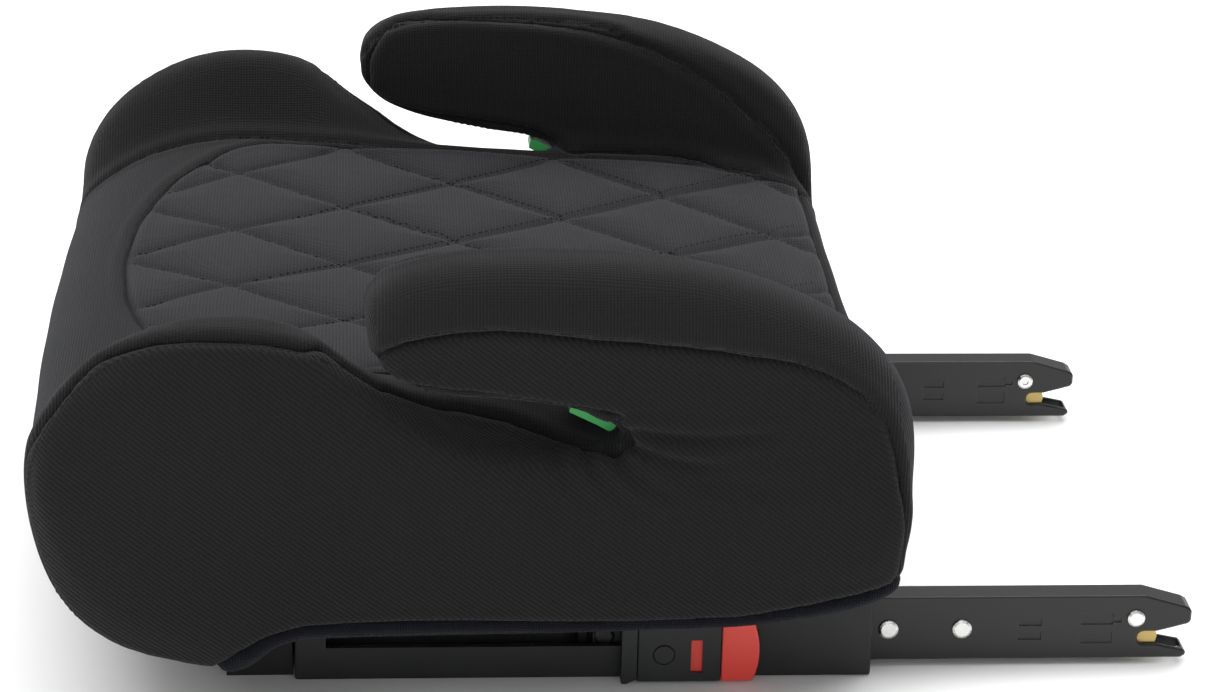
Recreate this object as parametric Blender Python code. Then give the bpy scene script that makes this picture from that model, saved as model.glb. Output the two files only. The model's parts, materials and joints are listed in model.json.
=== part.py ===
"""A backless booster seat with two rigid anchor connectors that slide out of its base.

Lengths are in millimetres and become metres in solid(). +X is the rear, where the connectors point,
+Y is the child's right, +Z is up, and the origin is on the ground under the middle of the bounding box.
Both sides of the seat are the same, so side pieces are drawn with y as the distance from the middle.
"""
import math

import bpy
from mathutils import Vector

MM = 0.001
GAP = 0.3  # between pieces that touch
LAYER_GAP = 0.6  # between the nested layers of the body, whose curved faces touch
FAR = 400.0  # past the end of anything here, for the shapes that cut

# The connectors' centres lie one anchor spacing apart, and the seat's sides a margin outside them.
ANCHOR_SPACING = 280.0
SIDE_MARGIN = 65.0

# The padded body. Its outlines are drawn at DRAWN_DEPTH and DRAWN_HEIGHT and stretched to these.
SEAT_DEPTH = 371.0
SEAT_HEIGHT = 207.0
SEAT_REAR = 121.0
SEAT_HALF_WIDTH = ANCHOR_SPACING / 2 + SIDE_MARGIN
BOLSTER_RIDGE = SEAT_HALF_WIDTH - 20.0
PAN_HALF_WIDTH = SEAT_HALF_WIDTH - 50.0
ARMREST_INNER = SEAT_HALF_WIDTH - 41.0
ARMREST_STEP = 1.2  # the armrest's faces lie this far inside the body's, so none are in one plane
FRONT_BOW = 6.0
CROWN_SHARE = 0.4  # of a layer's depth, by which the outlines at the body's sides shrink
DRAWN_DEPTH = 371.0
DRAWN_HEIGHT = 207.0
DRAWN_REAR = 121.0
BASE_HEIGHT = 58.0  # the fabric below this fits round the rails and the tray, so it isn't stretched in height

# The layers of the body, counted inwards from the fabric's outer face.
COVER_THICKNESS = 2.5
FOAM_THICKNESS = 7.2
SHELL_THICKNESS = 3.0
SIDE_SEAM = SEAT_HALF_WIDTH - 6.0
REAR_SEAM = 9.0  # in front of the rearmost point of the body
FOAM_SPLIT = ARMREST_INNER - 6.0

# The connectors: steel channels that slide 120 mm into the base.
ARM_WIDTH = 13.0
ARM_HEIGHT = 30.3
ARM_WALL = 2.0
NOSE_WALL = 3.0  # the closed ends of the two jaws
ARM_BOTTOM = 3.1
ARM_TIP = 256.0
ARM_LENGTH = 268.4
JAW_HEIGHT = 6.4
RIVET_HEAD = 1.2
RIVET_RADIUS = 2.5
PIVOT_HEAD_RADIUS = 4.15
BODY_HEAD_RADIUS = 4.6
PIVOT_FROM_TIP = 25.0
FRONT_RIVET_FROM_TIP = 135.4
REAR_RIVET_FROM_TIP = 102.7
CARRIAGE_RIVET_FROM_END = 7.0
BUTTON_TRAVEL = 7.0
ROD = 3.0
# The pressed dents in the arm's sides: start and end in front of the tip, bottom and top from the middle.
DENTS = [
    (77.4, 67.0, 0.95, 4.55), (77.4, 67.0, -5.85, -2.25),
    (49.4, 35.2, 1.35, 6.95), (49.4, 35.2, -7.85, -2.25), (36.0, 31.4, 2.35, 4.35),
]
DENT_DEPTH = 0.8

# The rails that the connectors slide in.
RAIL_FRONT = SEAT_REAR - 261.3 * SEAT_DEPTH / DRAWN_DEPTH
RAIL_REAR = SEAT_REAR - REAR_SEAM
RAIL_BOTTOM = 0.4
RAIL_WALL = 3.0
RAIL_HEIGHT = ARM_BOTTOM + ARM_HEIGHT + 6.6
RAIL_CLEARANCE = 0.5
CARRIAGE_ROOM = 6.5
SLOT_HEIGHT = 7.0
SLOT_FRONT_MARGIN = 13.5
RACK_PITCH = 15.0
RACK_TOOTH = (4.0, 5.0)
RACK_DEPTH = 1.1
RACK_ABOVE_SLOT = 1.5
PLATE_THICKNESS = 2.7

# The slider on the outside of the rail.
SLIDER_DEPTH = 6.6
COLLAR_FRONT = 1.5
CAP_FRONT = 8.5
CAP_REAR = 45.0
CAP_HEIGHT = ARM_HEIGHT - 2.5
CAP_BOTTOM = 1.5
CAP_WALL = 1.6
BUTTON_REAR = 61.9
WINDOW_X = 34.4
WINDOW_SIZE = (5.2, 15.6)
ADJUSTER_X = 20.0
ADJUSTER_RADIUS = 4.6

# The base tray between the rails.
TRAY_WALL = 3.0
TRAY_FRONT = -168.0
TRAY_REAR = 106.0
NOSE_HALF_WIDTH = ANCHOR_SPACING / 2 + 10.0
NOSE_HEIGHT = 20.0
PAD_SIZE = (42.0, 18.0, 1.6)
PAD_FROM_END = 34.0
PAD_FROM_SIDE = 20.0
TUBE_RADIUS = 7.0
TUBE_Z = RAIL_HEIGHT - 16.0
FRONT_TUBE_FROM_END = 55.0
REAR_TUBE_FROM_END = 25.0
SCREW_RADIUS = 2.0
SCREW_HEAD = (3.9, 3.0)
SCREW_BELOW_TOP = 3.2

ARM_Y = ANCHOR_SPACING / 2
ARM_IN = ARM_Y - ARM_WIDTH / 2
ARM_OUT = ARM_Y + ARM_WIDTH / 2
ARM_TOP = ARM_BOTTOM + ARM_HEIGHT
ARM_FRONT = ARM_TIP - ARM_LENGTH
RIVET_Z = ARM_BOTTOM + ARM_HEIGHT / 2
PIVOT = (ARM_TIP - PIVOT_FROM_TIP, RIVET_Z + 4.45)
RAIL_IN = ARM_IN - RIVET_HEAD - 2 * GAP - 0.2
CAVITY_OUT = ARM_OUT + CARRIAGE_ROOM
RAIL_OUT = CAVITY_OUT + RAIL_WALL
CARRIAGE_OUT = CAVITY_OUT - 2.2
SLOT_Z = RIVET_Z + 0.95
SLIDER_IN = RAIL_OUT + GAP
SLIDER_OUT = SLIDER_IN + SLIDER_DEPTH
TRAY_OUT = RAIL_IN - PLATE_THICKNESS - 2 * GAP
SCREW_X = {"front": RAIL_FRONT + 30.0, "rear": RAIL_REAR - 22.0}
SCREW_Z = RAIL_HEIGHT - SCREW_BELOW_TOP

# Outlines of the body in x and z, front-bottom first, then up the front, over the top and down the rear.
PAN_CENTRE = [
    (-172, 22), (-214, 32), (-241, 54), (-250, 88), (-248, 110), (-238, 126), (-215, 141), (-174, 143),
    (-130, 138), (-100, 135), (-60, 132), (-10, 129), (50, 125), (98, 121), (115, 114), (120, 100),
    (119, 78), (111, 54), (60, 42), (-60, 38), (-120, 37), (-146, 34), (-160, 23),
]
PAN_EDGE = [
    (-172, 22), (-214, 32), (-241, 54), (-250, 88), (-248, 110), (-236, 124), (-212, 138), (-176, 146),
    (-130, 145), (-100, 143), (-60, 141), (-10, 138), (50, 134), (98, 126), (115, 118), (121, 102),
    (119, 78), (111, 54), (60, 42), (-60, 38), (-120, 37), (-146, 34), (-160, 23),
]
BOLSTER = [
    (-172, 22), (-214, 33), (-238, 56), (-249, 92), (-249, 126), (-235, 152), (-210, 172), (-176, 182),
    (-138, 178), (-110, 158), (-70, 132), (-23, 126), (40, 130), (95, 130), (113, 122), (121, 104),
    (119, 78), (111, 54), (60, 42), (-60, 38), (-120, 37), (-146, 34), (-160, 23),
]
SIDE_CROWN = [
    (-160, 74), (-196, 80), (-218, 90), (-233, 104), (-234, 120), (-222, 136), (-203, 150), (-174, 158),
    (-142, 154), (-118, 140), (-80, 120), (-26, 112), (36, 112), (80, 110), (94, 106), (104, 98),
    (102, 92), (94, 88), (56, 86), (-50, 84), (-104, 82), (-130, 78), (-146, 76),
]
# The armrest: tip bottom first, then round the tip, over the top, down the rear and back through the body.
ARMREST = [
    (-98, 156), (-109, 170), (-110, 188), (-100, 199), (-80, 205), (-40, 207), (0, 205), (36, 200), (70, 188),
    (98, 171), (115, 149), (121, 122), (119, 90), (108, 66), (70, 62), (30, 84), (8, 118), (-5, 133),
    (-22, 142), (-52, 147), (-80, 150),
]
ARMREST_CROWN = [
    (-92, 161), (-97, 165), (-97, 171), (-91, 174), (-76, 175), (-40, 176), (0, 173), (30, 168), (58, 159),
    (80, 146), (93, 130), (100, 112), (98, 100), (88, 92), (64, 92), (40, 106), (18, 128), (6, 140),
    (-16, 149), (-48, 154), (-74, 155),
]
# The opening under the body, and the line between the fabric and its hem binding.
UNDERSIDE = [(-185, -20), (98, -20), (98, 58), (-150, 58), (-185, 44)]
HEM_LINE = [
    (-260, 33), (-200, 33), (-172, 33), (-160, 37), (-140, 46), (0, 47), (60, 51), (100, 61), (140, 70),
]
# The quilted panel in plan, right half, front to rear.
QUILT_EDGE = [(-218, 0), (-216, 30), (-211, 65), (-190, 122), (-172, 146), (-140, 152)]


def clear_scene():
    for old in list(bpy.data.objects):
        bpy.data.objects.remove(old, do_unlink=True)


def material(name, colour, roughness, metallic=0.0):
    made = bpy.data.materials.new(name)
    made.use_nodes = True
    shader = made.node_tree.nodes["Principled BSDF"]
    shader.inputs["Base Color"].default_value = (*colour, 1.0)
    shader.inputs["Roughness"].default_value = roughness
    shader.inputs["Metallic"].default_value = metallic
    return made


def solid(name, vertices, faces, finish, side=1, origin=(0, 0, 0)):
    """A mesh object from millimetre vertices. Side -1 mirrors it to the child's left."""
    if side < 0:
        faces = [tuple(reversed(face)) for face in faces]
    start = Vector((origin[0], origin[1] * side, origin[2])) * MM
    mesh = bpy.data.meshes.new(name)
    mesh.from_pydata([Vector((x, y * side, z)) * MM - start for x, y, z in vertices], [], faces)
    mesh.materials.append(finish)
    made = bpy.data.objects.new(name, mesh)
    made.location = start
    bpy.context.scene.collection.objects.link(made)
    bpy.context.view_layer.update()
    return made


def combine(body, other, operation="DIFFERENCE", solver="EXACT"):
    """Cuts, joins or intersects body with other, and removes other."""
    modifier = body.modifiers.new(operation.lower(), "BOOLEAN")
    modifier.operation = operation
    modifier.solver = solver
    modifier.object = other
    graph = bpy.context.evaluated_depsgraph_get()
    result = bpy.data.meshes.new_from_object(body.evaluated_get(graph))
    finish = body.data.materials[0]
    body.modifiers.clear()
    body.data = result
    body.data.materials.clear()
    body.data.materials.append(finish)
    bpy.data.objects.remove(other, do_unlink=True)
    bpy.context.view_layer.update()
    return body


def combine_forms(body, other, operation="DIFFERENCE"):
    """combine() for the curved layers of the body, where the exact solver loses faces."""
    return combine(body, other, operation, "MANIFOLD")


def box_shape(low, high):
    vertices = [(x, y, z) for x in (low[0], high[0]) for y in (low[1], high[1]) for z in (low[2], high[2])]
    faces = [(0, 1, 3, 2), (4, 6, 7, 5), (0, 4, 5, 1), (2, 3, 7, 6), (0, 2, 6, 4), (1, 5, 7, 3)]
    return vertices, faces


def area_of(outline):
    pairs = zip(outline, outline[1:] + outline[:1])
    return sum(a[0] * b[1] - b[0] * a[1] for a, b in pairs) / 2


def prism_shape(outline, low, high, axis="Y"):
    """A flat outline pushed along an axis: (x, z) along Y, or (x, y) along Z."""
    if (area_of(outline) > 0) != (axis == "Z"):
        outline = outline[::-1]
    count = len(outline)
    if axis == "Y":
        vertices = [(x, y, z) for y in (low, high) for x, z in outline]
    else:
        vertices = [(x, y, z) for z in (low, high) for x, y in outline]
    faces = [tuple(reversed(range(count))), tuple(range(count, 2 * count))]
    faces += [(i, (i + 1) % count, count + (i + 1) % count, count + i) for i in range(count)]
    return vertices, faces


def turned_shape(profile, centre, segments=16):
    """A profile of (y, radius) turned about a line along Y through centre (x, z). Both ends are closed."""
    vertices = []
    for y, radius in profile:
        for i in range(segments):
            angle = 2 * math.pi * i / segments
            vertices.append((centre[0] + radius * math.cos(angle), y, centre[1] - radius * math.sin(angle)))
    last = (len(profile) - 1) * segments
    faces = [tuple(reversed(range(segments))), tuple(range(last, last + segments))]
    for ring in range(len(profile) - 1):
        a = ring * segments
        b = a + segments
        faces += [(a + i, a + (i + 1) % segments, b + (i + 1) % segments, b + i) for i in range(segments)]
    return vertices, faces


def loft_shape(sections):
    """Closed outlines of (x, z) joined along Y. Each section is (y, outline), with y rising.

    Each quad is split along the same diagonal, so that lofts at two depths stay nested.
    """
    count = len(sections[0][1])
    vertices = [(x, y, z) for y, outline in sections for x, z in outline]
    last = (len(sections) - 1) * count
    faces = [tuple(reversed(range(count))), tuple(range(last, last + count))]
    for ring in range(len(sections) - 1):
        for i in range(count):
            a, a_next = ring * count + i, ring * count + (i + 1) % count
            b, b_next = a + count, a_next + count
            faces += [(a, a_next, b_next), (a, b_next, b)]
    return vertices, faces


def box(name, low, high, finish, side=1, origin=(0, 0, 0)):
    return solid(name, *box_shape(low, high), finish, side, origin)


def prism(name, outline, low, high, finish, side=1, origin=(0, 0, 0)):
    return solid(name, *prism_shape(outline, low, high), finish, side, origin)


def cut_box(body, low, high, side=1):
    return combine(body, box("cutter", low, high, body.data.materials[0], side))


def cut_hole(body, centre, radius, low, high, side=1):
    shape = turned_shape([(low, radius), (high, radius)], centre, 16)
    return combine(body, solid("cutter", *shape, body.data.materials[0], side))


def add_box(body, low, high, side=1):
    return combine(body, box("addition", low, high, body.data.materials[0], side), "UNION")


def soften(body, width, segments=2):
    """Rounds the sharp edges of a moulded or pressed piece."""
    modifier = body.modifiers.new("soft_edges", "BEVEL")
    modifier.width = width * MM
    modifier.segments = segments
    modifier.limit_method = "ANGLE"
    modifier.angle_limit = math.radians(40)
    modifier.use_clamp_overlap = True
    return body


def smooth_shading(body, angle=40):
    body.data.shade_smooth()
    body.data.set_sharp_from_angle(angle=math.radians(angle))


# ---- The padded body ----

def stretched(outline):
    """An outline drawn at the reference size, stretched to the seat's depth and height."""
    along = SEAT_DEPTH / DRAWN_DEPTH
    up = (SEAT_HEIGHT - BASE_HEIGHT) / (DRAWN_HEIGHT - BASE_HEIGHT)
    moved = []
    for x, z in outline:
        moved.append((SEAT_REAR + (x - DRAWN_REAR) * along, z + max(0.0, z - BASE_HEIGHT) * (up - 1)))
    return moved


def inset(outline, distance):
    """Each point moved inwards along the normal of its neighbours' chord."""
    moved = []
    for before, point, after in zip(outline[-1:] + outline[:-1], outline, outline[1:] + outline[:1]):
        chord = Vector((after[0] - before[0], after[1] - before[1])).normalized()
        moved.append((point[0] + chord.y * distance, point[1] - chord.x * distance))
    return moved


def mixed(first, second, share):
    return [(a[0] + (b[0] - a[0]) * share, a[1] + (b[1] - a[1]) * share) for a, b in zip(first, second)]


def round_over(share):
    """How far a quarter ellipse has fallen at this share of its width."""
    return 1 - math.sqrt(max(0.0, 1 - share * share))


def ease(share):
    return share * share * (3 - 2 * share)


def bowed(outline, y):
    """The front of the body bows forwards in the middle."""
    bow = FRONT_BOW * (1 - min(1.0, (y / BOLSTER_RIDGE)) ** 2)
    middle = SEAT_REAR - SEAT_DEPTH / 2
    front = SEAT_REAR - SEAT_DEPTH
    return [(x - bow * min(1.0, max(0.0, (middle - x) / (middle - front))), z) for x, z in outline]


def body_sections(depth):
    """Half of the seat body's sections at this depth under the surface, from the middle to one side."""
    centre, edge, ridge, crown = [stretched(part) for part in (PAN_CENTRE, PAN_EDGE, BOLSTER, SIDE_CROWN)]
    centre, edge, ridge = [inset(part, depth) for part in (centre, edge, ridge)]
    crown = inset(crown, CROWN_SHARE * depth)
    end = SEAT_HALF_WIDTH - depth
    sections = []
    for share in (0.0, 0.6, 1.0):
        sections.append((PAN_HALF_WIDTH * share, mixed(centre, edge, share * share)))
    for share in (0.5, 1.0):
        y = PAN_HALF_WIDTH + (BOLSTER_RIDGE - PAN_HALF_WIDTH) * share
        sections.append((y, mixed(edge, ridge, ease(share))))
    for share in (0.5, 0.85, 1.0):
        y = BOLSTER_RIDGE + (end - BOLSTER_RIDGE) * share
        sections.append((y, mixed(ridge, crown, round_over(share))))
    return [(y, bowed(outline, y)) for y, outline in sections]


def body_form(name, depth, finish):
    """The seat body without its armrests, this deep under the fabric's outer face."""
    half = body_sections(depth)
    mirrored = [(-y, outline) for y, outline in reversed(half[1:])]
    return solid(name, *loft_shape(mirrored + half), finish)


def armrest_form(depth, finish, side):
    """One armrest, which runs down into the rear of the body."""
    ridge = inset(stretched(ARMREST), depth)
    crown = inset(stretched(ARMREST_CROWN), CROWN_SHARE * depth)
    inner_radius = max(3.0, 10.0 - depth)
    inner = ARMREST_INNER + depth
    end = SEAT_HALF_WIDTH - ARMREST_STEP - depth
    top = BOLSTER_RIDGE - ARMREST_STEP
    sections = []
    for share in (1.0, 0.6, 0.0):
        y = inner + inner_radius * (1 - share)
        sections.append((y, mixed(ridge, crown, 0.25 * round_over(share))))
    sections.append((top, ridge))
    for share in (0.55, 0.88, 1.0):
        sections.append((top + (end - top) * share, mixed(ridge, crown, round_over(share))))
    return solid("armrest_form", *loft_shape(sections), finish, side)


def form(name, depth, finish, open_below=False):
    """The whole outer shape of the seat at a depth under the surface, with both armrests."""
    body = body_form(name, depth, finish)
    for side in (-1, 1):
        combine_forms(body, armrest_form(depth, finish, side), "UNION")
    if open_below:
        lip = BOLSTER_RIDGE - 2
        shape = prism_shape(stretched(UNDERSIDE), -lip, lip)
        combine_forms(body, solid("underside", *shape, finish), "UNION")
    return body


def layer(name, outer, inner, finish):
    """A shell of the body between two depths, open underneath."""
    return combine_forms(form(name, outer, finish), form("inside", inner, finish, open_below=True))


def copy_of(body, name):
    made = body.copy()
    made.data = body.data.copy()
    made.name = name
    bpy.context.scene.collection.objects.link(made)
    bpy.context.view_layer.update()
    return made


def within(body, name, shape):
    """A copy of body, kept only inside the shape."""
    made = copy_of(body, name)
    return combine_forms(made, solid("keep", *shape, made.data.materials[0]), "INTERSECT")


def split_cover(cover, name, low, high):
    """Cuts the piece of the cover between two corners into its own node, one gap from the rest."""
    within(cover, name, box_shape(low, high))
    wide_low = [low[0] - GAP, low[1] - GAP, low[2]]
    wide_high = [high[0] + GAP, high[1] + GAP, high[2]]
    return combine_forms(cover, solid("cutter", *box_shape(wide_low, wide_high), cover.data.materials[0]))


def mirrored_plan(right):
    """The whole plan outline from its right half, whose first point is on the middle line."""
    return right + [(x, -y) for x, y in reversed(right) if y > 0]


def make_cover(fabric, quilting, binding):
    cover = layer("top_cover", 0.0, COVER_THICKNESS, fabric)
    line = stretched(HEM_LINE)
    below = [(x, z - GAP / 2) for x, z in line] + [(line[-1][0], -FAR), (line[0][0], -FAR)]
    above = [(x, z + GAP / 2) for x, z in line] + [(line[-1][0], FAR), (line[0][0], FAR)]
    hem = within(cover, "hem_binding", prism_shape(below, -FAR, FAR))
    hem.data.materials.clear()
    hem.data.materials.append(binding)
    combine_forms(cover, solid("keep", *prism_shape(above, -FAR, FAR), fabric), "INTERSECT")
    split_cover(cover, "left_side_cover", (-FAR, -FAR, -FAR), (FAR, -SIDE_SEAM - GAP, FAR))
    split_cover(cover, "right_side_cover", (-FAR, SIDE_SEAM + GAP, -FAR), (FAR, FAR, FAR))
    rear = SEAT_REAR - REAR_SEAM
    half_rim = ARMREST_INNER - 8
    split_cover(cover, "rear_cover", (rear + GAP, -half_rim, -FAR), (FAR, half_rim, FAR))
    level = SEAT_HEIGHT / 2
    right = stretched(QUILT_EDGE) + [(rear, PAN_HALF_WIDTH - 3)]
    quilt = within(cover, "quilted_panel", prism_shape(mirrored_plan(right), level, FAR, "Z"))
    quilt.data.materials.clear()
    quilt.data.materials.append(quilting)
    grown = [(x - GAP, y + GAP) for x, y in right[:-1]] + [(rear + GAP, right[-1][1] + GAP)]
    grown[0] = (grown[0][0], 0.0)
    combine_forms(cover, solid("cutter", *prism_shape(mirrored_plan(grown), level, FAR, "Z"), fabric))


def make_foam(foam):
    outer = COVER_THICKNESS + LAYER_GAP
    inner = outer + FOAM_THICKNESS
    blank = layer("seat_foam", outer, inner, foam)
    within(blank, "left_side_foam", box_shape((-FAR, -FAR, -FAR), (FAR, -FOAM_SPLIT - GAP, FAR)))
    within(blank, "right_side_foam", box_shape((-FAR, FOAM_SPLIT + GAP, -FAR), (FAR, FAR, FAR)))
    keep = box_shape((-FAR, -FOAM_SPLIT, -FAR), (FAR, FOAM_SPLIT, FAR))
    combine_forms(blank, solid("keep", *keep, foam), "INTERSECT")


def shell_depth():
    return COVER_THICKNESS + FOAM_THICKNESS + 2 * LAYER_GAP


def make_shell(plastic):
    layer("seat_shell", shell_depth(), shell_depth() + SHELL_THICKNESS, plastic)


def make_belt_guides(plastic):
    """Green linings at the top of the rear end of the gap under each armrest, towards the child."""
    outline = stretched([(-25, 137), (-24, 143), (-12, 143), (6, 136), (6, 127), (-6, 127), (-13, 131)])
    for side, name in ((-1, "left_belt_guide"), (1, "right_belt_guide")):
        guide = prism(name, outline, ARMREST_INNER + 4, SEAT_HALF_WIDTH - 23, plastic, side)
        combine_forms(guide, form("clearance", -2 * LAYER_GAP, plastic))


# ---- The base ----

def make_base(plastic, rubber, steel):
    inside = shell_depth() + SHELL_THICKNESS + LAYER_GAP
    front, rear = [x for x, z in stretched([(TRAY_FRONT, 0), (TRAY_REAR, 0)])]
    tray = box("base_tray", (front, -TRAY_OUT, 0), (rear, TRAY_OUT, SEAT_HEIGHT), plastic)
    middle = (front + rear) / 2
    bays = [(front, middle), (middle, rear)]
    rows = [(-TRAY_OUT, -TRAY_OUT / 3), (-TRAY_OUT / 3, TRAY_OUT / 3), (TRAY_OUT / 3, TRAY_OUT)]
    for x0, x1 in bays:
        for y0, y1 in rows:
            low = (x0 + TRAY_WALL, y0 + TRAY_WALL, TRAY_WALL)
            cut_box(tray, low, (x1 - TRAY_WALL, y1 - TRAY_WALL, SEAT_HEIGHT + 10))
    room = form("room", inside, plastic)
    foot_side = [(front - 9, -9), (rear + 9, -9), (rear, 45), (front, 45)]
    foot = prism_shape(foot_side, -TRAY_OUT - 9, TRAY_OUT + 9)
    combine_forms(room, solid("foot", *foot, plastic), "UNION")
    combine_forms(tray, room, "INTERSECT")
    nose = box_shape((front - 2, -NOSE_HALF_WIDTH, 0), (RAIL_FRONT - 1, NOSE_HALF_WIDTH, NOSE_HEIGHT))
    combine_forms(tray, solid("nose", *nose, plastic), "UNION")
    reach = TRAY_OUT - TRAY_WALL
    tube_x = {"front": front + FRONT_TUBE_FROM_END, "rear": rear - REAR_TUBE_FROM_END}
    for place, x in tube_x.items():
        cut_hole(tray, (x, TUBE_Z), TUBE_RADIUS + GAP, -reach, reach)
        profile = [(GAP - reach, TUBE_RADIUS), (reach - GAP, TUBE_RADIUS)]
        solid(f"{place}_cross_tube", *turned_shape(profile, (x, TUBE_Z)), steel)
    pad_x = {"front": front + PAD_FROM_END, "rear": rear - PAD_FROM_END}
    for side, word in ((-1, "left"), (1, "right")):
        for place, x in pad_x.items():
            length, width, thick = PAD_SIZE
            y = TRAY_OUT - PAD_FROM_SIDE
            low = (x - length / 2, y - width / 2, -1)
            high = (x + length / 2, y + width / 2, thick)
            cut_box(tray, low, high, side)
            low = (low[0] + GAP, low[1] + GAP, 0)
            high = (high[0] - GAP, high[1] - GAP, thick - GAP)
            box(f"{word}_{place}_grip_pad", low, high, rubber, side)
        for place, x in SCREW_X.items():
            cut_hole(tray, (x, SCREW_Z), SCREW_RADIUS + GAP, TRAY_OUT - 9, TRAY_OUT + 9, side)
            make_rail_screw(f"{word}_{place}_rail_screw", (x, SCREW_Z), steel, side)
    return tray


def make_rail_screw(name, centre, steel, side):
    head = TRAY_OUT - TRAY_WALL - GAP
    tip = RAIL_IN + 12
    radius, height = SCREW_HEAD
    profile = [(head - height, radius - GAP), (head - height / 5, radius), (head, radius)]
    profile += [(head, SCREW_RADIUS), (tip, SCREW_RADIUS)]
    solid(name, *turned_shape(profile, centre, 14), steel, side)


# ---- The connectors, one set for each side ----

def make_rail(word, side, plastic, steel):
    """The outer rail with its slot, the plate that closes it and the holes for its screws."""
    low = (RAIL_FRONT, RAIL_IN, RAIL_BOTTOM)
    housing = box(f"{word}_rail_housing", low, (RAIL_REAR, RAIL_OUT, RAIL_HEIGHT), plastic, side)
    soften(housing, 1.0)
    cavity_low = (RAIL_FRONT + RAIL_WALL, RAIL_IN - 5, ARM_BOTTOM - RAIL_CLEARANCE)
    cut_box(housing, cavity_low, (RAIL_REAR + 5, CAVITY_OUT, ARM_TOP + RAIL_CLEARANCE), side)
    slot_top = SLOT_Z + SLOT_HEIGHT / 2
    slot_low = (RAIL_FRONT + SLOT_FRONT_MARGIN, CAVITY_OUT - 1, slot_top - SLOT_HEIGHT)
    cut_box(housing, slot_low, (BUTTON_REAR, RAIL_OUT + 5, slot_top), side)
    low = (RAIL_FRONT, RAIL_IN - GAP - PLATE_THICKNESS, RAIL_BOTTOM)
    plate = box(f"{word}_rail_backplate", low, (RAIL_REAR, RAIL_IN - GAP, RAIL_HEIGHT), steel, side)
    for x in SCREW_X.values():
        cut_hole(housing, (x, SCREW_Z), SCREW_RADIUS + GAP, RAIL_IN - 5, RAIL_IN + 14, side)
        cut_hole(plate, (x, SCREW_Z), SCREW_RADIUS + GAP, RAIL_IN - 9, RAIL_IN + 5, side)
    x = RAIL_FRONT + SLOT_FRONT_MARGIN + 20
    length, height = RACK_TOOTH
    while x < ADJUSTER_X + 6:
        low = (x, CAVITY_OUT - RACK_DEPTH, slot_top + RACK_ABOVE_SLOT)
        add_box(housing, low, (x + length, CAVITY_OUT + 1, low[2] + height), side)
        x += RACK_PITCH


def jaw_profile():
    """The arm's side view, with the jaw that takes the anchor bar at its tip."""
    tip = ARM_TIP
    low = ARM_BOTTOM
    throat = (tip - 14.8, low + 6.5, low + 6.5 + JAW_HEIGHT)
    radius = JAW_HEIGHT / 2
    centre = (tip - 20.6, (throat[1] + throat[2]) / 2)
    inner = []
    for i in range(7):
        angle = math.radians(90 + 30 * i)
        inner.append((centre[0] + radius * math.cos(angle), centre[1] + radius * math.sin(angle)))
    upper = [(ARM_FRONT, low), (ARM_FRONT, ARM_TOP), (tip - 21, ARM_TOP), (tip - 3, ARM_TOP - 5.2)]
    upper += [(tip, ARM_TOP - 7), (tip, low + 17.6), (tip - 1.5, low + 16.4), (throat[0], throat[2])]
    lower = [(throat[0], throat[1]), (tip - 2, low + 3.8), (tip - 1, low + 1.6), (tip - 3.5, low)]
    return upper + inner + lower


def make_arm(word, side, painted):
    name = f"{word}_connector_arm"
    arm = prism(name, jaw_profile(), ARM_IN, ARM_OUT, painted, side, (ARM_FRONT, ARM_Y, RIVET_Z))
    soften(arm, 0.8, 1)
    for centre in rivet_places().values():
        cut_hole(arm, centre, RIVET_RADIUS + GAP, ARM_IN - 1, ARM_OUT + 1, side)
    inside_low = (ARM_FRONT - 5, ARM_IN + ARM_WALL, ARM_BOTTOM - 5)
    inner_y = (ARM_IN + ARM_WALL, ARM_OUT - ARM_WALL)
    top = ARM_TOP - ARM_WALL
    tip = ARM_TIP
    nose = tip - NOSE_WALL
    roof = [(inside_low[0], inside_low[2]), (inside_low[0], top), (tip - 21.6, top), (nose, top - 5.3)]
    roof += [(nose, inside_low[2])]
    combine(arm, solid("cutter", *prism_shape(roof, *inner_y), painted, side))
    window_low = (COLLAR_FRONT + 2.5, ARM_OUT - ARM_WALL - 1, SLOT_Z - 11)
    cut_box(arm, window_low, (BUTTON_REAR + 0.6, ARM_OUT + 1, SLOT_Z + 10), side)
    for start, end, low, high in DENTS:
        for y0, y1 in ((ARM_IN - 1, ARM_IN + DENT_DEPTH), (ARM_OUT - DENT_DEPTH, ARM_OUT + 1)):
            cut_box(arm, (tip - start, y0, RIVET_Z + low), (tip - end, y1, RIVET_Z + high), side)
    return arm


def rivet_places():
    return {
        "front_rivet": (ARM_TIP - FRONT_RIVET_FROM_TIP, RIVET_Z),
        "rear_rivet": (ARM_TIP - REAR_RIVET_FROM_TIP, RIVET_Z),
        "jaw_pivot_rivet": PIVOT,
        "carriage_rivet": (ARM_FRONT + CARRIAGE_RIVET_FROM_END, RIVET_Z),
    }


def make_rivets(word, side, steel):
    for name, centre in rivet_places().items():
        head = PIVOT_HEAD_RADIUS if name == "jaw_pivot_rivet" else BODY_HEAD_RADIUS
        outer = CARRIAGE_OUT if name == "carriage_rivet" else ARM_OUT
        low = ARM_IN - GAP
        high = outer + GAP
        profile = [(low - RIVET_HEAD, head * 0.72), (low - RIVET_HEAD * 0.55, head * 0.94), (low, head)]
        profile += [(low, RIVET_RADIUS), (high, RIVET_RADIUS), (high, head)]
        profile += [(high + RIVET_HEAD * 0.55, head * 0.94), (high + RIVET_HEAD, head * 0.72)]
        start = (centre[0], ARM_Y, centre[1])
        rivet = solid(f"{word}_{name}", *turned_shape(profile, centre), steel, side, start)
        if name == "jaw_pivot_rivet":
            dimple = turned_shape([(low - RIVET_HEAD - 1, head * 0.42), (low - 0.4, head * 0.36)], centre, 12)
            combine(rivet, solid("cutter", *dimple, steel, side))
        smooth_shading(rivet)


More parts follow.
